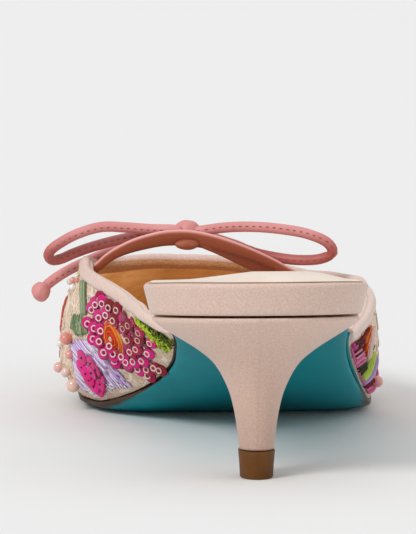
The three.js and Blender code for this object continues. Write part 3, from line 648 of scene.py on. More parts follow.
def wallDirection(side, y, turn):
    step = 0.02
    place = min(y, length - 0.6)
    along = lastPoint(side, place + 0.2, turn) - lastPoint(side, place - 0.2, turn)
    low, high = max(turn - step, -1), min(turn + step, 1)
    across = lastPoint(side, place, high) - lastPoint(side, place, low)
    normal = (across.cross(along) * -side).normalized()
    tip = smooth(y, length - 5, length)
    flat = Vector((normal.x * (1 - tip), normal.y * (1 - tip) + tip, 0)).normalized()
    return normal.lerp(flat, max(-turn if turn < 0 else 0, tip)).normalized()


def wallPoint(side, y, turn, offset):
    return lastPoint(side, y, turn) + wallDirection(side, y, turn) * offset


def spanned(u):
    # u from 0 to 1 runs over the upper from its inner sole edge to the outer one
    feather = 0.14
    if u <= feather:
        return -1, u / feather - 1
    if u <= 0.5:
        return -1, (u - feather) / (0.5 - feather)
    if u <= 1 - feather:
        return 1, 1 - (u - 0.5) / (0.5 - feather)
    return 1, -(u - 1 + feather) / feather


def toplineAt(side, turn):
    return toplineStart[side](turn) * length


# upper
upper = {"across": 100, "along": 64}


def skinPoint(u, v, offset):
    side, turn = spanned(u)
    start = toplineAt(side, turn)
    t = mix(v, math.sin(math.pi / 2 * v), 0.75)
    return wallPoint(side, start + (length - start) * t, turn, offset)


bm = bmesh.new()
sheet(bm, upper["across"], upper["along"], lambda u, v: skinPoint(u, v, 0))
sheet(bm, upper["across"], upper["along"], lambda u, v: skinPoint(u, v, -shoe["wall"]), 1)
closeUp(bm)
edges = [edge for edge in bm.edges if edge.is_boundary]
spots = bm.loops.layers.uv.verify()
for face in bm.faces:
    # satin on the lining's corners beside the footbed
    u, v = sum((loop[spots].uv for loop in face.loops), Vector((0, 0))) / len(face.loops)
    if face.material_index == 1 and v < 0.04 and abs(u - 0.5) > 0.3:
        face.material_index = 4
for face in bmesh.ops.bridge_loops(bm, edges=edges)["faces"]:
    # the cut edge of the wall: teal with the sole on the outer side, brown on the inner
    face.material_index = 2 if face.calc_center_median().x * 1000 > frameShift.x else 3
closeUp(bm)
upperMaterials = [meshCloth, liningSatin, soleLeather, sawnLeather, satinBinding]
upperPiece = newPiece("upper", bm, upperMaterials)
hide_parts("upper")
print("upper shaped")


# topline binding
binding = {
    "depth": 2.25,
    "steps": 260,
    "fuller": 0.5,  # extra share of its stand on the inner side's slope
    # way into the wall in shares of the depth, or out of it in mm, and the height off the wall
    "fold": [
        (1.0, 0.05), (0.95, 0.4), (0.75, 0.75), (0.4, 0.9), (-0.2, 0.85), (-0.6, 0.5),
        (-0.82, 0.05), (-0.86, -0.4), (-0.76, -0.85), (-0.5, -1.1), (-0.2, -1.15), (0.3, -1.1),
        (0.7, -0.6), (1.0, -0.3),
    ],
}


def nearWall(side, place, turn, offset):
    step = 0.01
    found = turn
    for _ in range(5):
        low, high = max(found - step, -1), min(found + step, 1)
        start = lastPoint(side, place.y, low)
        edge = lastPoint(side, place.y, high) - start
        found = clamp(low + (high - low) * (place - start).dot(edge) / edge.length_squared, -1, 1)
    return wallPoint(side, place.y, found, offset)


def rimAt(u):
    side, turn = spanned(u)
    return lastPoint(side, toplineAt(side, turn), turn)


rims = []
for i in range(binding["steps"] + 1):
    u = i / binding["steps"]
    side, turn = spanned(u)
    start = toplineAt(side, turn)
    here = rimAt(u)
    out = wallDirection(side, start, turn)
    along = (rimAt(min(u + 0.004, 1)) - rimAt(max(u - 0.004, 0))).normalized()
    inwards = out.cross(along).normalized()
    if inwards.dot(lastPoint(side, start + 1, turn) - here) < 0:
        inwards.negate()
    clear = here.z - underside(start)
    depth = min(binding["depth"], max(clear * 0.8, 0.8))
    fuller = smooth(turn, 0, 0.15) * (1 - smooth(turn, 0.45, 0.65)) if side < 0 else 0
    rims.append((side, turn, here, inwards, depth, 1 + binding["fuller"] * fuller))


def folded(fold):
    def pointAt(u, v):
        side, turn, here, inwards, depth, stand = rims[round(u * binding["steps"])]
        distance, offset = fold[round(v * len(fold)) % len(fold)]
        place = here + inwards * max(distance, 0) * depth
        return nearWall(side, place, turn, offset) + inwards * min(distance, 0) * stand

    bm = bmesh.new()
    sheet(bm, binding["steps"], len(fold), pointAt)
    closeUp(bm)
    bmesh.ops.holes_fill(bm, edges=[edge for edge in bm.edges if edge.is_boundary], sides=0)
    closeUp(bm)
    return bm


bindingPiece = newPiece(
    "toplineBinding", folded(binding["fold"]), [satinBinding]
)
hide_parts("topline_binding")
print("binding folded")

# facing: a tape that closes the inner half of the edge and is sewn down on the lining
facing = {
    "brown": (0.36, 0.7),  # the part of the topline where the tape is brown, satin elsewhere
    "fold": [
        (-0.5, -1.0), (-0.62, -1.4), (-0.62, -1.9), (-0.45, -2.3), (-0.1, -2.5), (0.35, -2.55),
        (0.8, -2.5), (1.15, -2.45), (1.2, -2.05), (0.9, -1.5), (0.3, -1.3), (0.0, -1.1),
    ],
}
bm = folded(facing["fold"])
spots = bm.loops.layers.uv.verify()
for face in bm.faces:
    u = sum(loop[spots].uv.x for loop in face.loops) / len(face.loops)
    face.material_index = 0 if facing["brown"][0] < u < facing["brown"][1] else 1
newPiece("facingTape", bm, [facingCloth, satinBinding])


# footbed, sock and outsole: rings round the outline from their top middle to their under middle
def ringPiece(
    name, nodeName, start, square, profile, material, lift=None, tintAt=None,
    edgeMaterial=None, edgeRow=0,
):
    bm = bmesh.new()
    steps = 144  # round the ring
    across = 0.06 if square else 0  # share of the ring that crosses a square end

    def place(u):
        half = (1 - across) / 2
        if u <= half:
            return -1, u / half
        if u <= 2 * half:
            return 1, 2 - u / half
        return 0, (u - 2 * half) / across

    def pointAt(u, v):
        row = round(v * (len(profile) - 1))
        inset, heightAt = profile[row]
        middle = inset is None
        if middle:
            inset = profile[1 if row == 0 else row - 1][0]
        side, t = place(min(u, 1))
        if side == 0:
            ends = [outlinePoint(s, start, inset(start))[0] for s in (1, -1)]
            x, y = mix(ends[0], ends[1], t), start
        else:
            eased = math.sin(math.pi / 2 * t) if square else (1 - math.cos(math.pi * t)) / 2
            y = start + (length - start) * mix(t, eased, 0.8)
            x, y = outlinePoint(side, y, inset(y))
        if middle:
            x = middleAt(y)
        return x, y, heightAt(y) + (lift(x, y, row) if lift else 0)

    sheet(bm, steps, len(profile) - 1, pointAt, 0, tintAt)
    if edgeMaterial:
        spots = bm.loops.layers.uv.verify()
        for face in bm.faces:
            share = sum(loop[spots].uv.y for loop in face.loops) / len(face.loops)
            face.material_index = 1 if share * (len(profile) - 1) > edgeRow else 0
    closeUp(bm)
    piece = newPiece(name, bm, [material] + ([edgeMaterial] if edgeMaterial else []))
    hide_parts(nodeName)
    return piece


upperStart = toplineAt(-1, -1)


def footbedInset(y):
    return (shoe["wall"] + shoe["lastRoom"]) * smooth(y, shoe["seatLength"] + 5, upperStart)


def taperAt(y):
    return mix(shoe["seatTaper"], 0.4, smooth(y, shoe["seatLength"], upperStart))


def seatTop(y):
    # the finished seat is dished a little
    return footbedTop(y) - 0.4 * smooth(y, 6, 28) * (1 - smooth(y, 55, 80))


def footbedRing(inset, rise):
    # inset beyond the edge and the height between the underside and the top
    def insetAt(y):
        return footbedInset(y) + (inset if rise > 0.999 else taperAt(y) * (1 - rise) + inset)

    return insetAt, lambda y: mix(underside(y), seatTop(y), rise)


footbedProfile = [(None, seatTop)] + [
    footbedRing(inset, rise)
    for inset, rise in (
        (8, 1), (2, 1), (1.1, 1), (0.7, 0.975), (0.32, 0.94), (0.08, 0.9), (0, 0.84), (0, 0.7),
        (0, 0.5), (0, 0.3), (0, 0.12), (0.05, 0.05), (0.35, 0), (2, 0), (8, 0),
    )
] + [(None, underside)]
ringPiece("footbed", "footbed", 0, False, footbedProfile, satinSeat)


def sockMargin(y):
    return 1.6 + (shoe["wall"] + 0.6) * smooth(y, shoe["flatEnd"], length - shoe["toeDrop"])


def sockRing(inset, rise, dome):
    def heightAt(y):
        crown = shoe["sockCrown"] * (1 - smooth(y, shoe["seatLength"], upperStart + 20)) * dome
        thick = mix(0.15, 1, smooth(y, 45, 75)) * (shoe["sockThickness"] + 0.2)
        return seatTop(y) + 0.1 + thick * rise + crown * 0.25

    return (lambda y: sockMargin(y) + inset) if inset is not None else None, heightAt


sockProfile = [
    sockRing(*row)
    for row in (
        (None, 1, 1), (13, 1, 1), (9, 1, 0.9), (6, 1, 0.7), (3, 1, 0.35), (1, 1, 0.1),
        (0.35, 0.97, 0), (0.08, 0.85, 0), (0, 0.6, 0), (0, 0.2, 0), (0.2, 0, 0), (3, 0, 0),
        (None, 0, 0),
    )
]


def sockPuff(x, y, row):
    # the soft sock stands up over the seat, more on its outer side
    share = (1, 1, 1, 0.9, 0.55, 0.2)[row] if row < 6 else 0
    rise = 2.0 * smooth(x, -18, 0) * (1 - smooth(x, 13, 27))
    return share * rise * (1 - smooth(y, 40, 62))


ringPiece(
    "sock", "sock", 0, False, sockProfile, sockLeather, lift=sockPuff,
    edgeMaterial=cutEdge, edgeRow=6,
)


def soleInset(y):
    return mix(shoe["edgeTuck"], -shoe["edgeReveal"], smooth(y, 105, shoe["flatStart"]))


def soleRing(inset, below, crown):
    def heightAt(y):
        rounding = shoe["archCrown"] * (1 - smooth(y, 95, shoe["flatStart"] - 10))
        rounding *= smooth(y, shoe["seatLength"], 70)
        return underside(y) - shoe["gap"] - below - rounding * crown

    return (lambda y: soleInset(y) + inset) if inset is not None else None, heightAt


soleProfile = [
    soleRing(*row)
    for row in (
        (None, 0, 0), (8, 0, 0), (0.6, 0, 0), (0.2, 0.05, 0), (0, 0.3, 0), (0, 0.7, 0),
        (0.1, 0.95, 0), (0.6, 1.35, 0), (2, 1.8, 0.12), (4, 2.1, 0.3), (6.5, 2.45, 0.55),
        (9, 2.63, 0.8), (11.5, 2.75, 0.94), (14, 2.8, 1), (None, 2.8, 1),
    )
]


def sawnEdge(y, v):
    # share of brown: the whole edge at the ball, its upper part in the arch, none at the waist
    depth = v * (len(soleProfile) - 1)
    low = mix(2.5, 8.3, smooth(y, 95, 150))
    return smooth(y, 88, 96) * (1 - smooth(depth, low - 0.3, low + 0.3))


ringPiece(
    "outsole", "outsole", shoe["seatLength"] + 0.6, True, soleProfile, soleLeather,
    tintAt=sawnEdge,
)
print("sole built")

# heel and top piece
heel = {
    "tipHeight": 7,
    "tipWidth": 8.2,
    "tipBack": 18.6,
    "tipFront": 29.4,
    # height, flare and whether the ring is open
    "tipRings": [
        (0, 0, 0), (0, -0.35, 1), (0.35, 0, 1), (3.5, 0.16, 1), (6.7, 0.45, 1), (7, 0.25, 1),
        (7, 0, 0),
    ],
    "joint": 0.35,
    "around": 100,
    "levels": 44,
    # level, half width, back, front, share of the seat's slope
    "sections": [
        (0, 0.165, 0.358, 0.565, 0), (0.11, 0.179, 0.35, 0.577, 0),
        (0.265, 0.208, 0.333, 0.6, 0), (0.4, 0.248, 0.31, 0.63, 0.03),
        (0.535, 0.318, 0.273, 0.672, 0.1), (0.65, 0.41, 0.228, 0.722, 0.22),
        (0.745, 0.55, 0.178, 0.782, 0.4), (0.81, 0.675, 0.138, 0.83, 0.58),
        (0.86, 0.78, 0.103, 0.877, 0.74), (0.92, 0.9, 0.058, 0.935, 0.9),
        (0.965, 0.965, 0.022, 0.975, 0.98), (1, 1, 0, 1, 1),
    ],
}
heelAt = [columnCurve(heel["sections"], column) for column in range(1, 5)]
heelAxis = (heel["tipBack"] + heel["tipFront"]) / 2


def seatEdge(u):
    # ring round the seat: up the inner side, back the outer side, and across the breast
    seatLength = shoe["seatLength"]
    if u > 0.9:
        ends = [outlinePoint(s, seatLength, shoe["seatTaper"])[0] for s in (1, -1)]
        return mix(ends[0], ends[1], (u - 0.9) / 0.1), seatLength
    t = u / 0.45 if u <= 0.45 else 2 - u / 0.45
    side = -1 if u <= 0.45 else 1
    return outlinePoint(side, seatLength * (1 - math.cos(math.pi / 2 * t)), shoe["seatTaper"])


def heelPoint(u, v):
    halfShare, back, front, slopeShare = heelAt
    level = clamp((v - 0.03) / 0.94)  # the first and last rings close the ends
    x, y = seatEdge(u)
    y = shoe["seatLength"] * mix(back(level), front(level), y / shoe["seatLength"])
    x *= halfShare(level)
    if v <= 0 or v >= 1:
        x, y = 0, heelAxis
    elif level >= 1:
        x, y = x * 0.965, mix(heelAxis, y, 0.965)  # rounded upper edge
    top = underside(heelAxis) - shoe["gap"] - heel["joint"]
    slope = (underside(y) - shoe["gap"] - heel["joint"] - top) * slopeShare(level)
    return x, y, mix(heel["tipHeight"] + shoe["gap"], top, level) + slope


bm = bmesh.new()
sheet(bm, heel["around"], heel["levels"], heelPoint)
closeUp(bm)
heelPiece = newPiece("heelCover", bm, [satinHeel])
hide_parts("heel")


def tipPoint(u, v):
    z, flare, size = heel["tipRings"][round(v * (len(heel["tipRings"]) - 1))]
    x, y = seatEdge(u)
    half = shoe["seat"] / 2 - shoe["seatTaper"]
    if not size:
        return 0, heelAxis, z
    y = mix(heel["tipBack"] - flare, heel["tipFront"] + flare * 0.4, y / shoe["seatLength"])
    return x / half * (heel["tipWidth"] / 2 + flare), y, z


bm = bmesh.new()
sheet(bm, heel["around"], len(heel["tipRings"]) - 1, tipPoint)
closeUp(bm)
tipPiece = newPiece("topPiece", bm, [tipRubber])
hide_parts("top_piece")
print("heel covered")

# tie bar
tie = {
    "thickness": 1.6,
    "offset": -3.4,
    # share of the way and width
    "widths": [
        (0, 2.0), (0.12, 2.2), (0.2, 2.7), (0.3, 3.9), (0.45, 4.5), (0.55, 3.8), (0.68, 2.6),
        (0.8, 2.1), (1, 2),
    ],
}
widthAt = curveThrough(tie["widths"])


def sewnOn(side, y, turn, lift=0):
    face = wallDirection(side, y, turn) * (1 if side < 0 else -1)
    return wallPoint(side, y, turn, tie["offset"] - lift), face


def free(x, y, z):
    return Vector((x, y, z)), Vector((0, -1, -0.25))


def strap(bm, route, share, thickness, count):
    path = splineThrough([stop[0] for stop in route], count)

    def pointAt(u, v):
        i = round(v * count)
        ahead = (path[min(i + 1, count)] - path[max(i - 1, 0)]).normalized()
        place = v * (len(route) - 1)
        stop = min(int(place), len(route) - 2)
        looks = route[stop][1].lerp(route[stop + 1][1], place - stop)
        across = ahead.cross(looks).normalized()
        face = across.cross(ahead).normalized()
        c, s = math.cos(u * math.tau), math.sin(u * math.tau)
        size = 0 if i in (0, count) else 1
        wide = math.copysign(abs(c) ** 0.7, c) * widthAt(v) * share / 2 * size
        deep = math.copysign(abs(s) ** 0.7, s) * thickness / 2 * size
        return path[i] + across * wide + face * deep

    sheet(bm, 20, count, pointAt)


bm = bmesh.new()
mainRoute = [
    sewnOn(-1, 155, 0.3), free(-35.4, 151.5, 37.2), free(-33.9, 151, 38.6),
    free(-32.3, 150.7, 40.1), free(-29.9, 150.5, 41.7), free(-26, 150.7, 43.4),
    free(-21.4, 151.2, 44.7),
    free(-16.7, 151.8, 45.5), free(-11.4, 152, 45.6), free(-7, 151.8, 45), free(-1.8, 151.7, 43.8),
    free(6.4, 152.5, 41.0), free(12.3, 154, 38.3), free(16.4, 155, 36), sewnOn(1, 163.5, 0.5, 1),
    sewnOn(1, 165.5, 0.4, 1),
]
branchRoute = [
    free(-8, 152.2, 44.2), free(-5, 152.2, 43.0), free(-1.7, 153, 41.6), free(2.3, 154, 40),
    free(6, 155, 38.5), free(9.2, 156.5, 37), free(11.8, 158, 35.8), sewnOn(1, 174.5, 0.6, 1),
]
strap(bm, mainRoute, 1, tie["thickness"], 110)
strap(bm, branchRoute, 0.85, tie["thickness"], 70)
closeUp(bm)
tiePiece = newPiece("tieStrands", bm, [strapLeather])
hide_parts("tie_bar")
# the lace's turn under the bar, folded, its leather painted dark as the shade under the bar
knot("turnUnder", "bow_knot", (-10.9, 150.9, 43.9), 6.2, (1.05, 0.55, 0.45), shadedFoldLeather)
print("tie sewn on")

# embroidery: threads, sequins and beads laid on the outside of the upper


def tintMaterial(name, roughness, grain, depth, **sockets):
    # the colour of each stitch or sequin is painted on its own points
    material, tree, shader = newMaterial(name, "C8B0A0", roughness, **sockets)
    tint = node(tree, "ShaderNodeAttribute", attribute_name="tint")
    place = placeOn(tree)
    mottle = noise(tree, place, grain * 0.4, 2, 0.5)
    shade = blend(tree, mottle, tint.outputs["Color"], "D8D2D2", "MULTIPLY")
    tree.links.new(shade, shader.inputs["Base Color"])
    bump(tree, shader, noise(tree, place, grain, 2, 0.5), depth, 0.0001)
    return material


threadSilk = tintMaterial("threadSilk", 0.6, 2400, 0.5, Specular_IOR_Level=0.06)
sequinGloss = tintMaterial("sequinGloss", 0.4, 900, 0.1, Specular_IOR_Level=0.3, Coat_Weight=0.08)
beadGlass = tintMaterial("beadGlass", 0.35, 1200, 0.1, Coat_Weight=0.3, Coat_Roughness=0.1)
pearlLustre = tintMaterial("pearlLustre", 0.12, 500, 0.03, Coat_Weight=1.0, Coat_Roughness=0.03)

skin = bmesh.new()
sheet(skin, upper["across"], upper["along"], lambda u, v: skinPoint(u, v, 0))
bmesh.ops.recalc_face_normals(skin, faces=skin.faces)
outside = BVHTree.FromBMesh(skin)
skin.free()


def onGround(point):
    # the upper's nearest place and the way out of it
    place, normal, _, _ = outside.find_nearest(toFrame(point))
    place = place * 1000 - frameShift
    back = place - lastPoint(1, place.y, 0).lerp(lastPoint(-1, place.y, 0), 0.5)
    return place, normal if normal.dot(back) > 0 else -normal


def throughPixel(across, down):
    # the upper's place behind a pixel of the photograph, or nearest to it at the silhouette
    half = [size / 2 for size in view["image"]]
    ray = sight * view["focal"] + sightRight * (across - half[0]) - sightUp * (down - half[1])
    ray.normalize()
    hit = outside.ray_cast(toFrame(eye), ray)[0]
    if hit is not None:
        return onGround(hit * 1000 - frameShift)
    nearest = min(
        (eye + ray * reach for reach in range(1755, 1930, 3)),
        key=lambda point: outside.find_nearest(toFrame(point))[3],
    )
    return onGround(nearest)


def pixelOf(point):
    out = Vector(point) - eye
    share = view["focal"] / out.dot(sight)
    across = view["image"][0] / 2 + out.dot(sightRight) * share
    return across, view["image"][1] / 2 - out.dot(sightUp) * share


def standingAt(across, down, lift):
    # like throughPixel, for something whose middle stands off the upper by lift
    aim = [across, down]
    for _ in range(6):
        place, normal = throughPixel(*aim)
        seen = pixelOf(place + normal * lift)
        aim = [aim[0] + (across - seen[0]) * 0.7, aim[1] + (down - seen[1]) * 0.7]
    return place, normal


def turnedTo(place, normal, along, scale):
    # matrix that stands a shape on the upper, its x axis along and its z axis outwards
    side = normal.cross(along).normalized()
    ahead = side.cross(normal).normalized()
    spin = Matrix((ahead, side, normal)).transposed().to_4x4()
    return Matrix.Translation(toFrame(place)) @ spin @ Matrix.Diagonal((*[scale / 1000] * 3, 1))


def shapeMesh(name, build):
    bm = bmesh.new()
    bm.loops.layers.uv.verify()
    bm.verts.layers.float_color.new("tint")
    build(bm)
    bmesh.ops.recalc_face_normals(bm, faces=bm.faces)
    mesh = bpy.data.meshes.new(name)
    bm.to_mesh(mesh)
    bm.free()
    return mesh


def ringShape(tubeSize, around, sides):
    def build(bm):
        made = bmesh.ops.create_grid(bm, x_segments=around, y_segments=sides, size=0.5)
        for vert in made["verts"]:
            big, small = (vert.co.x + 0.5) * math.tau, (vert.co.y + 0.5) * math.tau
            reach = 1 + tubeSize * math.cos(small)
            flat = Vector((reach * math.cos(big), reach * math.sin(big), 0))
            vert.co = flat + Vector((0, 0, tubeSize * math.sin(small)))
        bmesh.ops.remove_doubles(bm, verts=bm.verts, dist=1e-4)

    return build


def discShape(bm):
    bmesh.ops.create_cone(
        bm, cap_ends=True, segments=16, radius1=1, radius2=0.78, depth=0.1, calc_uvs=True
    )


def pearlShape(bm):
    bmesh.ops.create_uvsphere(bm, u_segments=18, v_segments=12, radius=1, calc_uvs=True)


shapes = {
    "bead": shapeMesh("bead", ringShape(0.27, 12, 5)),
    "loop": shapeMesh("loop", ringShape(0.38, 9, 5)),
    "disc": shapeMesh("disc", discShape),
    "pearl": shapeMesh("pearl", pearlShape),
}


def newWork():
    bm = bmesh.new()
    bm.loops.layers.uv.verify()
    bm.verts.layers.float_color.new("tint")
    return bm


def dye(bm, start, tone):
    bm.verts.ensure_lookup_table()
    layer = bm.verts.layers.float_color["tint"]
    colour = linear(tone)
    for i in range(start, len(bm.verts)):
        bm.verts[i][layer] = colour


def stamp(bm, shape, matrix, tone):
    start = len(bm.verts)
    bm.from_mesh(shapes[shape])
    bm.verts.ensure_lookup_table()
    bmesh.ops.transform(bm, matrix=matrix, verts=bm.verts[start:])
    dye(bm, start, tone)


def stitch(bm, points, radius, tone, sides=5, closed=False):
    # one thread along points, which are (place, outward direction) pairs
    start = len(bm.verts)
    count = len(points) - 1
    made = bmesh.ops.create_grid(bm, x_segments=sides, y_segments=count, size=0.5, calc_uvs=True)
    for vert in made["verts"]:
        i = round((vert.co.y + 0.5) * count)
        before = points[i - 1 if i else (count - 1 if closed else 0)][0]
        after = points[i + 1 if i < count else (1 if closed else count)][0]
        place, normal = points[i]
        across = (after - before).cross(normal).normalized()
        angle = (vert.co.x + 0.5) * math.tau
        thin = 0 if i in (0, count) and not closed else 1
        reach = across * math.cos(angle) + normal * math.sin(angle)
        vert.co = toFrame(place + reach * radius * thin)
    dye(bm, start, tone)


def laid(points, lift):
    # a path a little above the upper
    return [(place + normal * lift, normal) for place, normal in map(onGround, points)]


def laidPixels(pixels, lift, steps):
    places = [throughPixel(*pixel)[0] for pixel in pixels]
    return laid(splineThrough(places, steps), lift)


def petal(sequins, beads, spot, centre, tone, beadTone, size, towards=None):
    # a sequin with a bead ring on its inner half, its outer edge raised
    place, normal = spot
    out = place - centre
    out -= normal * out.dot(normal)
    out.normalize()
    shown = normal - out * 0.3
    if towards:
        shown += towards * 0.9
    shown.normalize()
    steep = math.sqrt(max(1 - shown.dot(normal) ** 2, 0))
    edge = place + out * size * 0.45 + normal * size * (0.2 + 0.75 * steep)
    stamp(sequins, "disc", turnedTo(edge, shown, out, size), tone)
    top = place + normal * size * (0.35 + 0.75 * steep)
    stamp(beads, "bead", turnedTo(top, shown, out, size * 0.44), beadTone)


def coil(bm, centre, rounds, pitch, tones):
    # wound thread in the middle of a flower
    place, normal = centre
    along = normal.orthogonal().normalized()
    side = normal.cross(along)
    for k in range(rounds):
        reach = pitch * (k + 0.6)
        path = [
            place + (along * math.cos(a) + side * math.sin(a)) * (reach + draw.uniform(-0.1, 0.1))
            for a in (math.tau * i / 24 for i in range(24))
        ]
        lift = 0.75 - 0.08 * k
        stitch(bm, laid(path + path[:1], lift), pitch * 0.5, tones[k % len(tones)], 5, True)


def sprig(bm, pixels, widths, tones, count, size):
    # small looped threads heaped along a path, light on one side and dark on the other
    path = splineThrough([(x, y, 0) for x, y in pixels], 40)
    for _ in range(count):
        t = draw.random()
        i = min(int(t * 40), 39)
        ahead = (path[i + 1] - path[i]).normalized()
        w = draw.uniform(-1, 1)
        reach = mix(widths[0], widths[1], t) * w
        spot = path[i] + Vector((-ahead.y, ahead.x, 0)) * reach
        place, normal = throughPixel(spot.x, spot.y)
        lean = Vector([draw.uniform(-0.6, 0.6) for _ in range(3)])
        tone = draw.choice(tones[0] if w + draw.uniform(-0.35, 0.35) > 0 else tones[1])
        up = (normal + lean).normalized()
        matrix = turnedTo(place + normal * 0.35, up, up.orthogonal(), size * draw.uniform(0.8, 1.2))
        stamp(bm, "loop", matrix, tone)


threads, sequins, beads, pearls = newWork(), newWork(), newWork(), newWork()

bigFlower = {
    "centre": (113, 338),
    "sequin": 1.75,
    "flat": 1.5,
    "stand": 1.3,
    # the dark and wine tones and the ground sequins under the petals are the sequins' own reds,
    # darkened further as painted shade where petals turn from the light and between them
    "tones": {"m": "D80A7E", "p": "DC3088", "d": "8A0622", "w": "AE0646"},
    "under": ["8C0832", "B80A60", "720618", "A00C50"],
    "beads": {"m": "F3DDD2", "p": "F6E4DA", "d": "EBC9BE", "w": "F1D8CC"},
    # pixel of each bead ring and its tone: bright, pale, dark or wine red
    "petals": [
        (100, 300, "w"), (95.5, 305, "p"), (92, 310, "p"), (102, 304, "m"),
        (108, 308, "d"), (115.5, 310.5, "d"), (88, 324, "m"), (99, 318, "p"), (105.5, 315.5, "p"),
        (112, 321, "d"), (94.5, 328.5, "m"), (101, 331, "m"), (93.5, 339, "m"), (99.5, 341.5, "m"),
        (104, 352.5, "p"), (109.5, 346, "m"), (113, 354, "m"), (114.5, 361, "m"),
        (122, 329, "d"), (127, 326, "d"), (137.5, 333.5, "w"), (126.5, 340.5, "d"),
        (137, 341, "d"), (149, 344, "m"), (135, 350, "w"), (129, 352.5, "w"), (146.5, 354.5, "m"),
        (121, 357, "m"), (125.5, 362.5, "p"), (132.5, 362, "m"), (141, 361.5, "m"),
        (137.5, 369.5, "m"), (146, 370, "w"), (153, 368.5, "w"), (147.5, 376, "w"),
        (158.5, 371, "d"),
    ],
    "coil": ["E6C2A6", "D93A28", "E25A30", "C8451F", "F08C3C", "E8742C", "F2A052"],
}
middle = throughPixel(*bigFlower["centre"])
for across, down, kind in bigFlower["petals"]:
    spot = standingAt(across, down, bigFlower["stand"])
    tone, beadTone = bigFlower["tones"][kind], bigFlower["beads"][kind]
    petal(sequins, beads, spot, middle[0], tone, beadTone, bigFlower["sequin"], -sight)
coil(threads, middle, 7, 0.74, bigFlower["coil"])
for _ in range(120):
    # flat sequins fill the ground between the petals, their dark reds partly painted shade between
    # the petals
    angle, reach = draw.uniform(0, math.tau), math.sqrt(draw.uniform(0.06, 1))
    across = bigFlower["centre"][0] + 8 + (27 * math.cos(angle) + 7 * math.sin(angle)) * reach
    down = bigFlower["centre"][1] + 1 + (21 * math.cos(angle) - 22 * math.sin(angle)) * reach
    place, normal = throughPixel(across, down)
    if (place - middle[0]).length > 3.6:
        lean = Vector([draw.uniform(-0.25, 0.25) for _ in range(3)])
        up = (normal + lean).normalized()
        matrix = turnedTo(place + normal * 0.35, up, normal.orthogonal(), bigFlower["flat"])
        stamp(sequins, "disc", matrix, draw.choice(bigFlower["under"]))
print("large flower sewn")

lilacFlower = {
    "start": (76, 338),
    "end": (124, 392),
    "tones": ["E2D2F2", "EEE2F8", "D0B8EA", "FAF4FF", "BC9CDC"],
    "lines": 54,
    "thread": 0.2,
    "discs": [
        (84, 357, "D8287C"), (93, 362, "D8287C"), (98, 368, "C82070"), (84, 366, "F00A8C"),
        (88, 372, "F00A8C"), (94, 371, "D82884"), (102, 376, "D8287C"), (91, 378, "E80A80"),
        (96, 384, "F00A8C"), (100, 388, "F00A8C"), (102, 382, "E00A7C"),
    ],
    "disc": 2.3,
    "loops": [(107, 384), (110, 387), (113, 385), (92, 390), (96, 393), (100, 394), (88, 387)],
}
a, b = Vector(lilacFlower["start"]), Vector(lilacFlower["end"])
ahead = (b - a).normalized()
side = Vector((ahead.y, -ahead.x))
for k in range(lilacFlower["lines"]):
    offset = mix(-28, 10.5, (k + 0.5) / lilacFlower["lines"])
    begin = max((-offset - 8) * 1.7, offset * 0.9, 0)
    finish = 71 + (offset - 5) * 0.7
    at = begin + draw.uniform(-1, 2)
    while at < finish - 4:
        reach = min(at + draw.uniform(14, 26), finish + draw.uniform(-1, 1))
        wander = draw.uniform(-0.6, 0.6)
        ends = [a + ahead * at + side * offset, a + ahead * reach + side * (offset + wander)]
        path = laidPixels(ends, 0.3 + draw.uniform(-0.05, 0.12), 5)
        stitch(threads, path, lilacFlower["thread"], draw.choice(lilacFlower["tones"]), 4)
        at = reach + 0.5
centre = throughPixel(92, 373)[0]
for i, (across, down, tone) in enumerate(lilacFlower["discs"]):
    place, normal = throughPixel(across, down)
    out = place - centre
    shown = (normal * 3 - out.normalized() * 0.5 + Vector((0, 0, 0.4))).normalized()
    lift = normal * (0.7 + 0.1 * (i % 3))
    stamp(sequins, "disc", turnedTo(place + lift, shown, out, lilacFlower["disc"]), tone)
    stamp(beads, "pearl", turnedTo(place + lift * 1.35, shown, out, 0.3), "3A0A22")
for across, down in lilacFlower["loops"]:
    place, normal = throughPixel(across, down)
    stamp(beads, "loop", turnedTo(place + normal * 0.5, normal, Vector((0, 0, 1)), 0.75), "E9E2EF")
print("lilac flower sewn")

leaves = {
    "lime": ["C9DE3C", "B5D334", "9DBB2E", "DDEB6A"],
    "dark": ["3F5A18", "55701F", "2C3E12", "6E8428", "8A7A3C"],
    "sage": ["97A687", "82976F", "6A7D56", "A8B596"],
    "sprig": [(138, 317), (149, 328), (161, 340), (172, 347)],
    "stem": [(84.5, 280), (84, 292), (84.5, 304), (85, 316)],
    # strokes of the leaf: from and to pixels
    "leaf": [
        ((76, 313), (73, 326)), ((78, 314), (75, 332)), ((80, 313), (77, 335)),
        ((82, 313), (80, 337)), ((83, 315), (83, 338)), ((85, 318), (86, 336)),
        ((86, 324), (88, 334)), ((74, 318), (73, 330)), ((79, 318), (82, 334)),
        ((81, 320), (87, 332)), ((77, 321), (80, 336)), ((75, 325), (78, 336)),
    ],
}
sprig(threads, leaves["sprig"], (3.4, 7.2), (leaves["lime"], leaves["dark"]), 210, 0.46)
for offset in (-2.4, -1.2, 0, 1.2, 2.4):
    path = laidPixels([(x + offset, y) for x, y in leaves["stem"]], 0.35, 14)
    stitch(threads, path, 0.32, draw.choice(leaves["sage"]), 5)
for start, end in leaves["leaf"]:
    for shift in (-0.7, 0.7):
        ends = [(start[0] + shift, start[1]), (end[0] + shift, end[1])]
        stitch(threads, laidPixels(ends, 0.4, 5), 0.3, draw.choice(leaves["sage"]), 5)
print("leaves sewn")

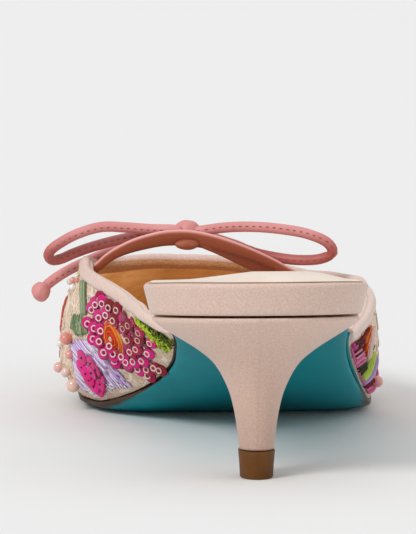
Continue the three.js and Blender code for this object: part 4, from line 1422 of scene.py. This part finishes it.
strokes = {
    # tone, thickness and pixels of each long thread
    "edge": [
        ("E8C8C0", 0.16, [
            (348.5, 341), (350.5, 352), (354, 364), (358.5, 376), (364, 388), (368, 395),
        ]),
        ("D870A4", 0.34, [
            (349.8, 344), (352, 355), (355.5, 366), (360, 378), (365, 388), (369, 394),
        ]),
        ("B83C78", 0.3, [(351, 344), (353, 355), (357, 367), (361.5, 379), (366, 388)]),
        ("E088B0", 0.3, [(351.5, 348), (356, 361), (361, 373), (365, 384), (368, 393)]),
        ("D05A94", 0.3, [(353, 348), (357.5, 361), (362.5, 373), (366.5, 384), (369, 392)]),
        ("B04878", 0.3, [(354.5, 348), (359, 361), (364, 373), (368, 384), (370.5, 391)]),
        ("7A1838", 0.3, [(356, 348), (360.5, 361), (365, 373), (369, 383)]),
    ],
    "left": [
        ("D9705C", 0.3, [(69, 295), (66, 303), (63.5, 312), (62.5, 322), (62, 333)]),
        ("E87A30", 0.24, [(64, 309), (62.5, 318), (61.5, 330)]),
        ("D88A86", 0.2, [(64, 309), (61, 313)]),
        ("D88A86", 0.2, [(66, 302), (63, 305)]),
    ],
    "right": [
        ("C24A86", 0.46, [(350.5, 345), (355, 342)]), ("C75A90", 0.46, [(351, 348), (356, 344)]),
        ("4A0410", 0.54, [(352, 344), (361, 339)]), ("5A0814", 0.54, [(355, 346), (363, 340)]),
        ("A8386E", 0.46, [(351, 350), (356, 346)]), ("5A0814", 0.49, [(352, 352), (360, 345)]),
        ("DE8CA8", 0.46, [(352, 354), (360, 348.5)]), ("3C0410", 0.49, [(353, 356), (361, 350)]),
        ("E59CB4", 0.46, [(354, 358), (362, 351)]), ("D65E92", 0.49, [(353, 361), (363, 353)]),
        ("E286AC", 0.46, [(353, 363), (363, 356)]), ("D070A0", 0.46, [(355, 366), (364, 359)]),
        ("8C1A10", 0.49, [(358, 341), (362, 336), (368, 327)]),
        ("A32A12", 0.46, [(361, 352), (364, 342), (368, 330)]),
        ("E07A2C", 0.46, [(363, 344), (366, 334), (369.5, 325)]),
        ("D96A24", 0.41, [(364, 352), (366, 342), (369, 332)]),
        ("B33A18", 0.41, [(364, 357), (365.5, 348), (368, 338)]),
        ("F0CFC4", 0.46, [(366, 362), (368, 348), (370, 336), (372, 326)]),
        ("F2D8CE", 0.46, [(368, 360), (370, 346), (372, 334), (373.5, 326)]),
        ("E8B8B0", 0.41, [(365, 355), (366, 346), (368, 336)]),
        ("2E3410", 0.54, [(355, 368), (364, 361)]), ("28300E", 0.54, [(356, 371), (365, 363)]),
        ("3A4414", 0.54, [(358, 374), (365, 366)]),
        ("B5CF55", 0.57, [(360, 379), (366, 370), (369, 360), (371, 350)]),
        ("C4DA62", 0.57, [(361, 380), (368, 371), (371, 361), (373, 350)]),
        ("A2C048", 0.57, [(359, 376), (365, 367), (368, 357)]),
        ("4E6A20", 0.41, [(371, 350), (372, 344)]),
        ("A890C8", 0.46, [(361, 382), (369, 374), (373, 362), (375, 354)]),
        ("BBA6D6", 0.46, [(362, 384), (371, 375), (375, 364), (376, 356)]),
        ("5A0A1E", 0.49, [(362, 387), (371, 378)]), ("7A1030", 0.46, [(364, 388), (373, 378)]),
        ("E07AA4", 0.46, [(364, 390), (374, 380), (376, 368)]),
        ("D86090", 0.46, [(365, 392), (375, 384), (376.5, 374)]),
        ("E898B8", 0.46, [(368, 392), (374, 387)]),
    ],
}
for group in strokes.values():
    for tone, size, pixels in group:
        stitch(threads, laidPixels(pixels, size * 1.1, 10), size, tone, 5)

pearlsSewn = {
    # pixel, radius in mm and tone
    "seen": [
        (73, 280, 0.85, "E9A59A"), (76.5, 276, 0.7, "FFFBF6"), (69, 280, 0.8, "F6D9CE"),
        (72.5, 287, 0.85, "FFFDFA"), (77, 280, 0.7, "E8907F"), (66, 338.5, 1.72, "EE9486"),
        (60, 343.5, 0.95, "F3EDE6"), (69.5, 355, 1.22, "F0A698"), (58, 368, 1.45, "F4BEB6"),
        (65.5, 372.5, 1.3, "F2D3C7"), (73, 385.5, 1.85, "F4CCBA"), (377, 381.5, 1.6, "F0A2A0"),
    ],
    "sink": 0.8,
}
for across, down, size, tone in pearlsSewn["seen"]:
    place, normal = standingAt(across, down, size * pearlsSewn["sink"])
    matrix = turnedTo(place + normal * size * pearlsSewn["sink"], normal, Vector((0, 0, 1)), size)
    stamp(pearls, "pearl", matrix, tone)
print("pearls sewn on")

# cream cord couched in curls all over the ground
cording = {"curls": 620, "size": 0.2, "tones": ["EBDCC9", "F4E8DA", "E0CCB4"]}
for _ in range(cording["curls"]):
    u, v = draw.uniform(0.02, 0.98), draw.uniform(0.03, 0.97)
    place, normal = onGround(skinPoint(u, v, 0))
    level = normal.orthogonal()
    along = (level + normal.cross(level) * draw.uniform(-3, 3)).normalized()
    side = normal.cross(along)
    reach, turns, bend = draw.uniform(0.9, 1.9), draw.uniform(0.6, 1.3), draw.choice((-1, 1))
    path = []
    for i in range(9):
        angle = bend * math.tau * turns * i / 8
        out = along * math.cos(angle) + side * math.sin(angle)
        path.append(place + out * reach * (1 - 0.06 * i))
    stitch(threads, laid(path, 0.15), cording["size"], draw.choice(cording["tones"]), 4)
print("cord couched")

# the rest of the upper carries the same flowers, which the photograph doesn't show
garden = {
    # side, place along, turn over the last, size, tones
    "sequin": [
        (1, 190, 0.7, 1.0, "magenta"), (-1, 208, 0.5, 0.85, "wine"), (1, 172, 0.22, 0.8, "wine"),
        (1, 222, 0.4, 0.7, "magenta"), (-1, 176, 0.25, 0.8, "magenta"),
    ],
    "stitched": [
        (-1, 190, 0.85, 1.0), (1, 163, 0.3, 1.0), (1, 212, 0.85, 0.85), (-1, 226, 0.8, 0.7),
        (1, 196, 0.12, 0.8), (-1, 186, 0.2, 0.8),
    ],
    "magenta": ["C2157A", "CF4A90", "B81268"],
    "wine": ["8A0E30", "A80F55", "C2157A"],
    "lilac": ["C3A9D6", "D4C0E2", "B094CA", "E6DCEE"],
    "coral": ["E68F82", "F0B49A", "E27C6E"],
    "rounds": [(6.4, 11), (9.4, 15), (12.2, 18)],
}


def aroundSpot(spot, reach, angle):
    place, normal = spot
    along = (Vector((0, 1, 0)) - normal * normal.y).normalized()
    side = normal.cross(along)
    return onGround(place + (along * math.cos(angle) + side * math.sin(angle)) * reach)


for sideOf, y, turn, size, kind in garden["sequin"]:
    spot = onGround(lastPoint(sideOf, y, turn))
    for reach, count in garden["rounds"]:
        for i in range(count):
            angle = math.tau * (i + 0.5 * (count % 2)) / count + draw.uniform(-0.06, 0.06)
            here = aroundSpot(spot, reach * size, angle)
            tone = draw.choice(garden[kind])
            petal(sequins, beads, here, spot[0], tone, "F1DCD2", 1.8 * size)
    coil(threads, spot, 6, 0.8 * size, bigFlower["coil"])
for sideOf, y, turn, size in garden["stitched"]:
    spot = onGround(lastPoint(sideOf, y, turn))
    tones = garden["lilac" if draw.random() < 0.6 else "coral"]
    for i in range(64):
        angle = math.tau * i / 64
        far = (7.5 + 1.6 * math.sin(angle * 5)) * size
        ends = [aroundSpot(spot, reach, angle)[0] for reach in (1.6 * size, far)]
        stitch(threads, laid(splineThrough(ends, 4), 0.3), 0.28, draw.choice(tones), 4)
    for i in range(7):
        place, normal = aroundSpot(spot, 1.7 * size if i else 0, math.tau * i / 6)
        matrix = turnedTo(place + normal * 0.75, normal, normal.orthogonal(), 1.5 * size)
        stamp(sequins, "disc", matrix, draw.choice(["F00A8C", "D8287C", "E80A80"]))
vines = {
    # side, then place along and turn of each point of a vine
    "routes": [
        (1, [(150, 0.3), (160, 0.12), (172, 0.05), (186, 0.2)]),
        (1, [(130, 0.25), (140, 0.4), (152, 0.45), (160, 0.42)]),
        (1, [(196, 0.35), (206, 0.3), (214, 0.5), (224, 0.7)]),
        (-1, [(140, 0.5), (150, 0.62), (162, 0.55), (170, 0.62)]),
        (-1, [(182, 0.6), (190, 0.45), (198, 0.2), (212, 0.15)]),
        (-1, [(216, 0.3), (224, 0.45), (232, 0.6), (238, 0.8)]),
        (1, [(180, 0.85), (190, 0.95), (200, 0.98), (212, 0.95)]),
    ],
    "green": ["9DB08C", "8DA37C", "B4C0A4", "B5D334"],
}
for sideOf, route in vines["routes"]:
    path = laid(splineThrough([lastPoint(sideOf, y, turn) for y, turn in route], 24), 0.35)
    stitch(threads, path, 0.34, vines["green"][1], 5)
    for i in range(3, 24, 4):
        place, normal = path[i]
        ahead = (path[i + 1][0] - path[i - 1][0]).normalized()
        side = normal.cross(ahead) * (1 if i % 8 == 3 else -1)
        tone = draw.choice(vines["green"])
        for k in range(7):
            # a leaf of side by side stitches
            root = place + ahead * (k - 3) * 0.5
            tip = root + (side * 1.4 + ahead).normalized() * (3.6 - 0.32 * (k - 3) ** 2)
            stitch(threads, laid(splineThrough([root, tip], 4), 0.35), 0.3, tone, 4)
print("garden sewn")

for name, bm, material in (
    ("embroideryThreads", threads, threadSilk),
    ("flowerSequins", sequins, sequinGloss),
    ("flowerBeads", beads, beadGlass),
    ("sewnPearls", pearls, pearlLustre),
):
    bmesh.ops.remove_doubles(bm, verts=bm.verts, dist=2e-7)
    bmesh.ops.recalc_face_normals(bm, faces=bm.faces)
    print(name, "has", len(bm.faces), "faces")
    newPiece(name, bm, [material])

# floor and light
studio = {
    "floor": "E7E7E7",
    "size": 16,
    "world": 0.61,
    "lamps": [
        # name, where it shines from, strength, angle of its disc in degrees
        ("keyLamp", (-1.0, -1.0, 1.15), 1.55, 22),
        ("sideLamp", (1.4, -0.5, 0.7), 0.35, 60),
        ("topLamp", (0.1, 0.5, 1.6), 0.35, 70),
    ],
}
floorMaterial, tree, shader = newMaterial("paperFloor", studio["floor"], 0.9)
bm = bmesh.new()
bmesh.ops.create_grid(bm, x_segments=1, y_segments=1, size=studio["size"] / 2)
floorMesh = bpy.data.meshes.new("floor")
bm.to_mesh(floorMesh)
bm.free()
floorMesh.materials.append(floorMaterial)
floor = bpy.data.objects.new("floor", floorMesh)
bpy.context.scene.collection.objects.link(floor)

for name, place, strength, spread in studio["lamps"]:
    lamp = bpy.data.lights.new(name, "SUN")
    lamp.energy = strength
    lamp.angle = math.radians(spread)
    lampObject = bpy.data.objects.new(name, lamp)
    bpy.context.scene.collection.objects.link(lampObject)
    lampObject.matrix_world = Vector(place).to_track_quat("Z", "Y").to_matrix().to_4x4()

world = bpy.data.worlds.new("studio")
world.use_nodes = True
world.node_tree.nodes["Background"].inputs["Color"].default_value = (1, 1, 1, 1)
world.node_tree.nodes["Background"].inputs["Strength"].default_value = studio["world"]
bpy.context.scene.world = world
bpy.context.scene.view_settings.view_transform = "Standard"
print("lights set")
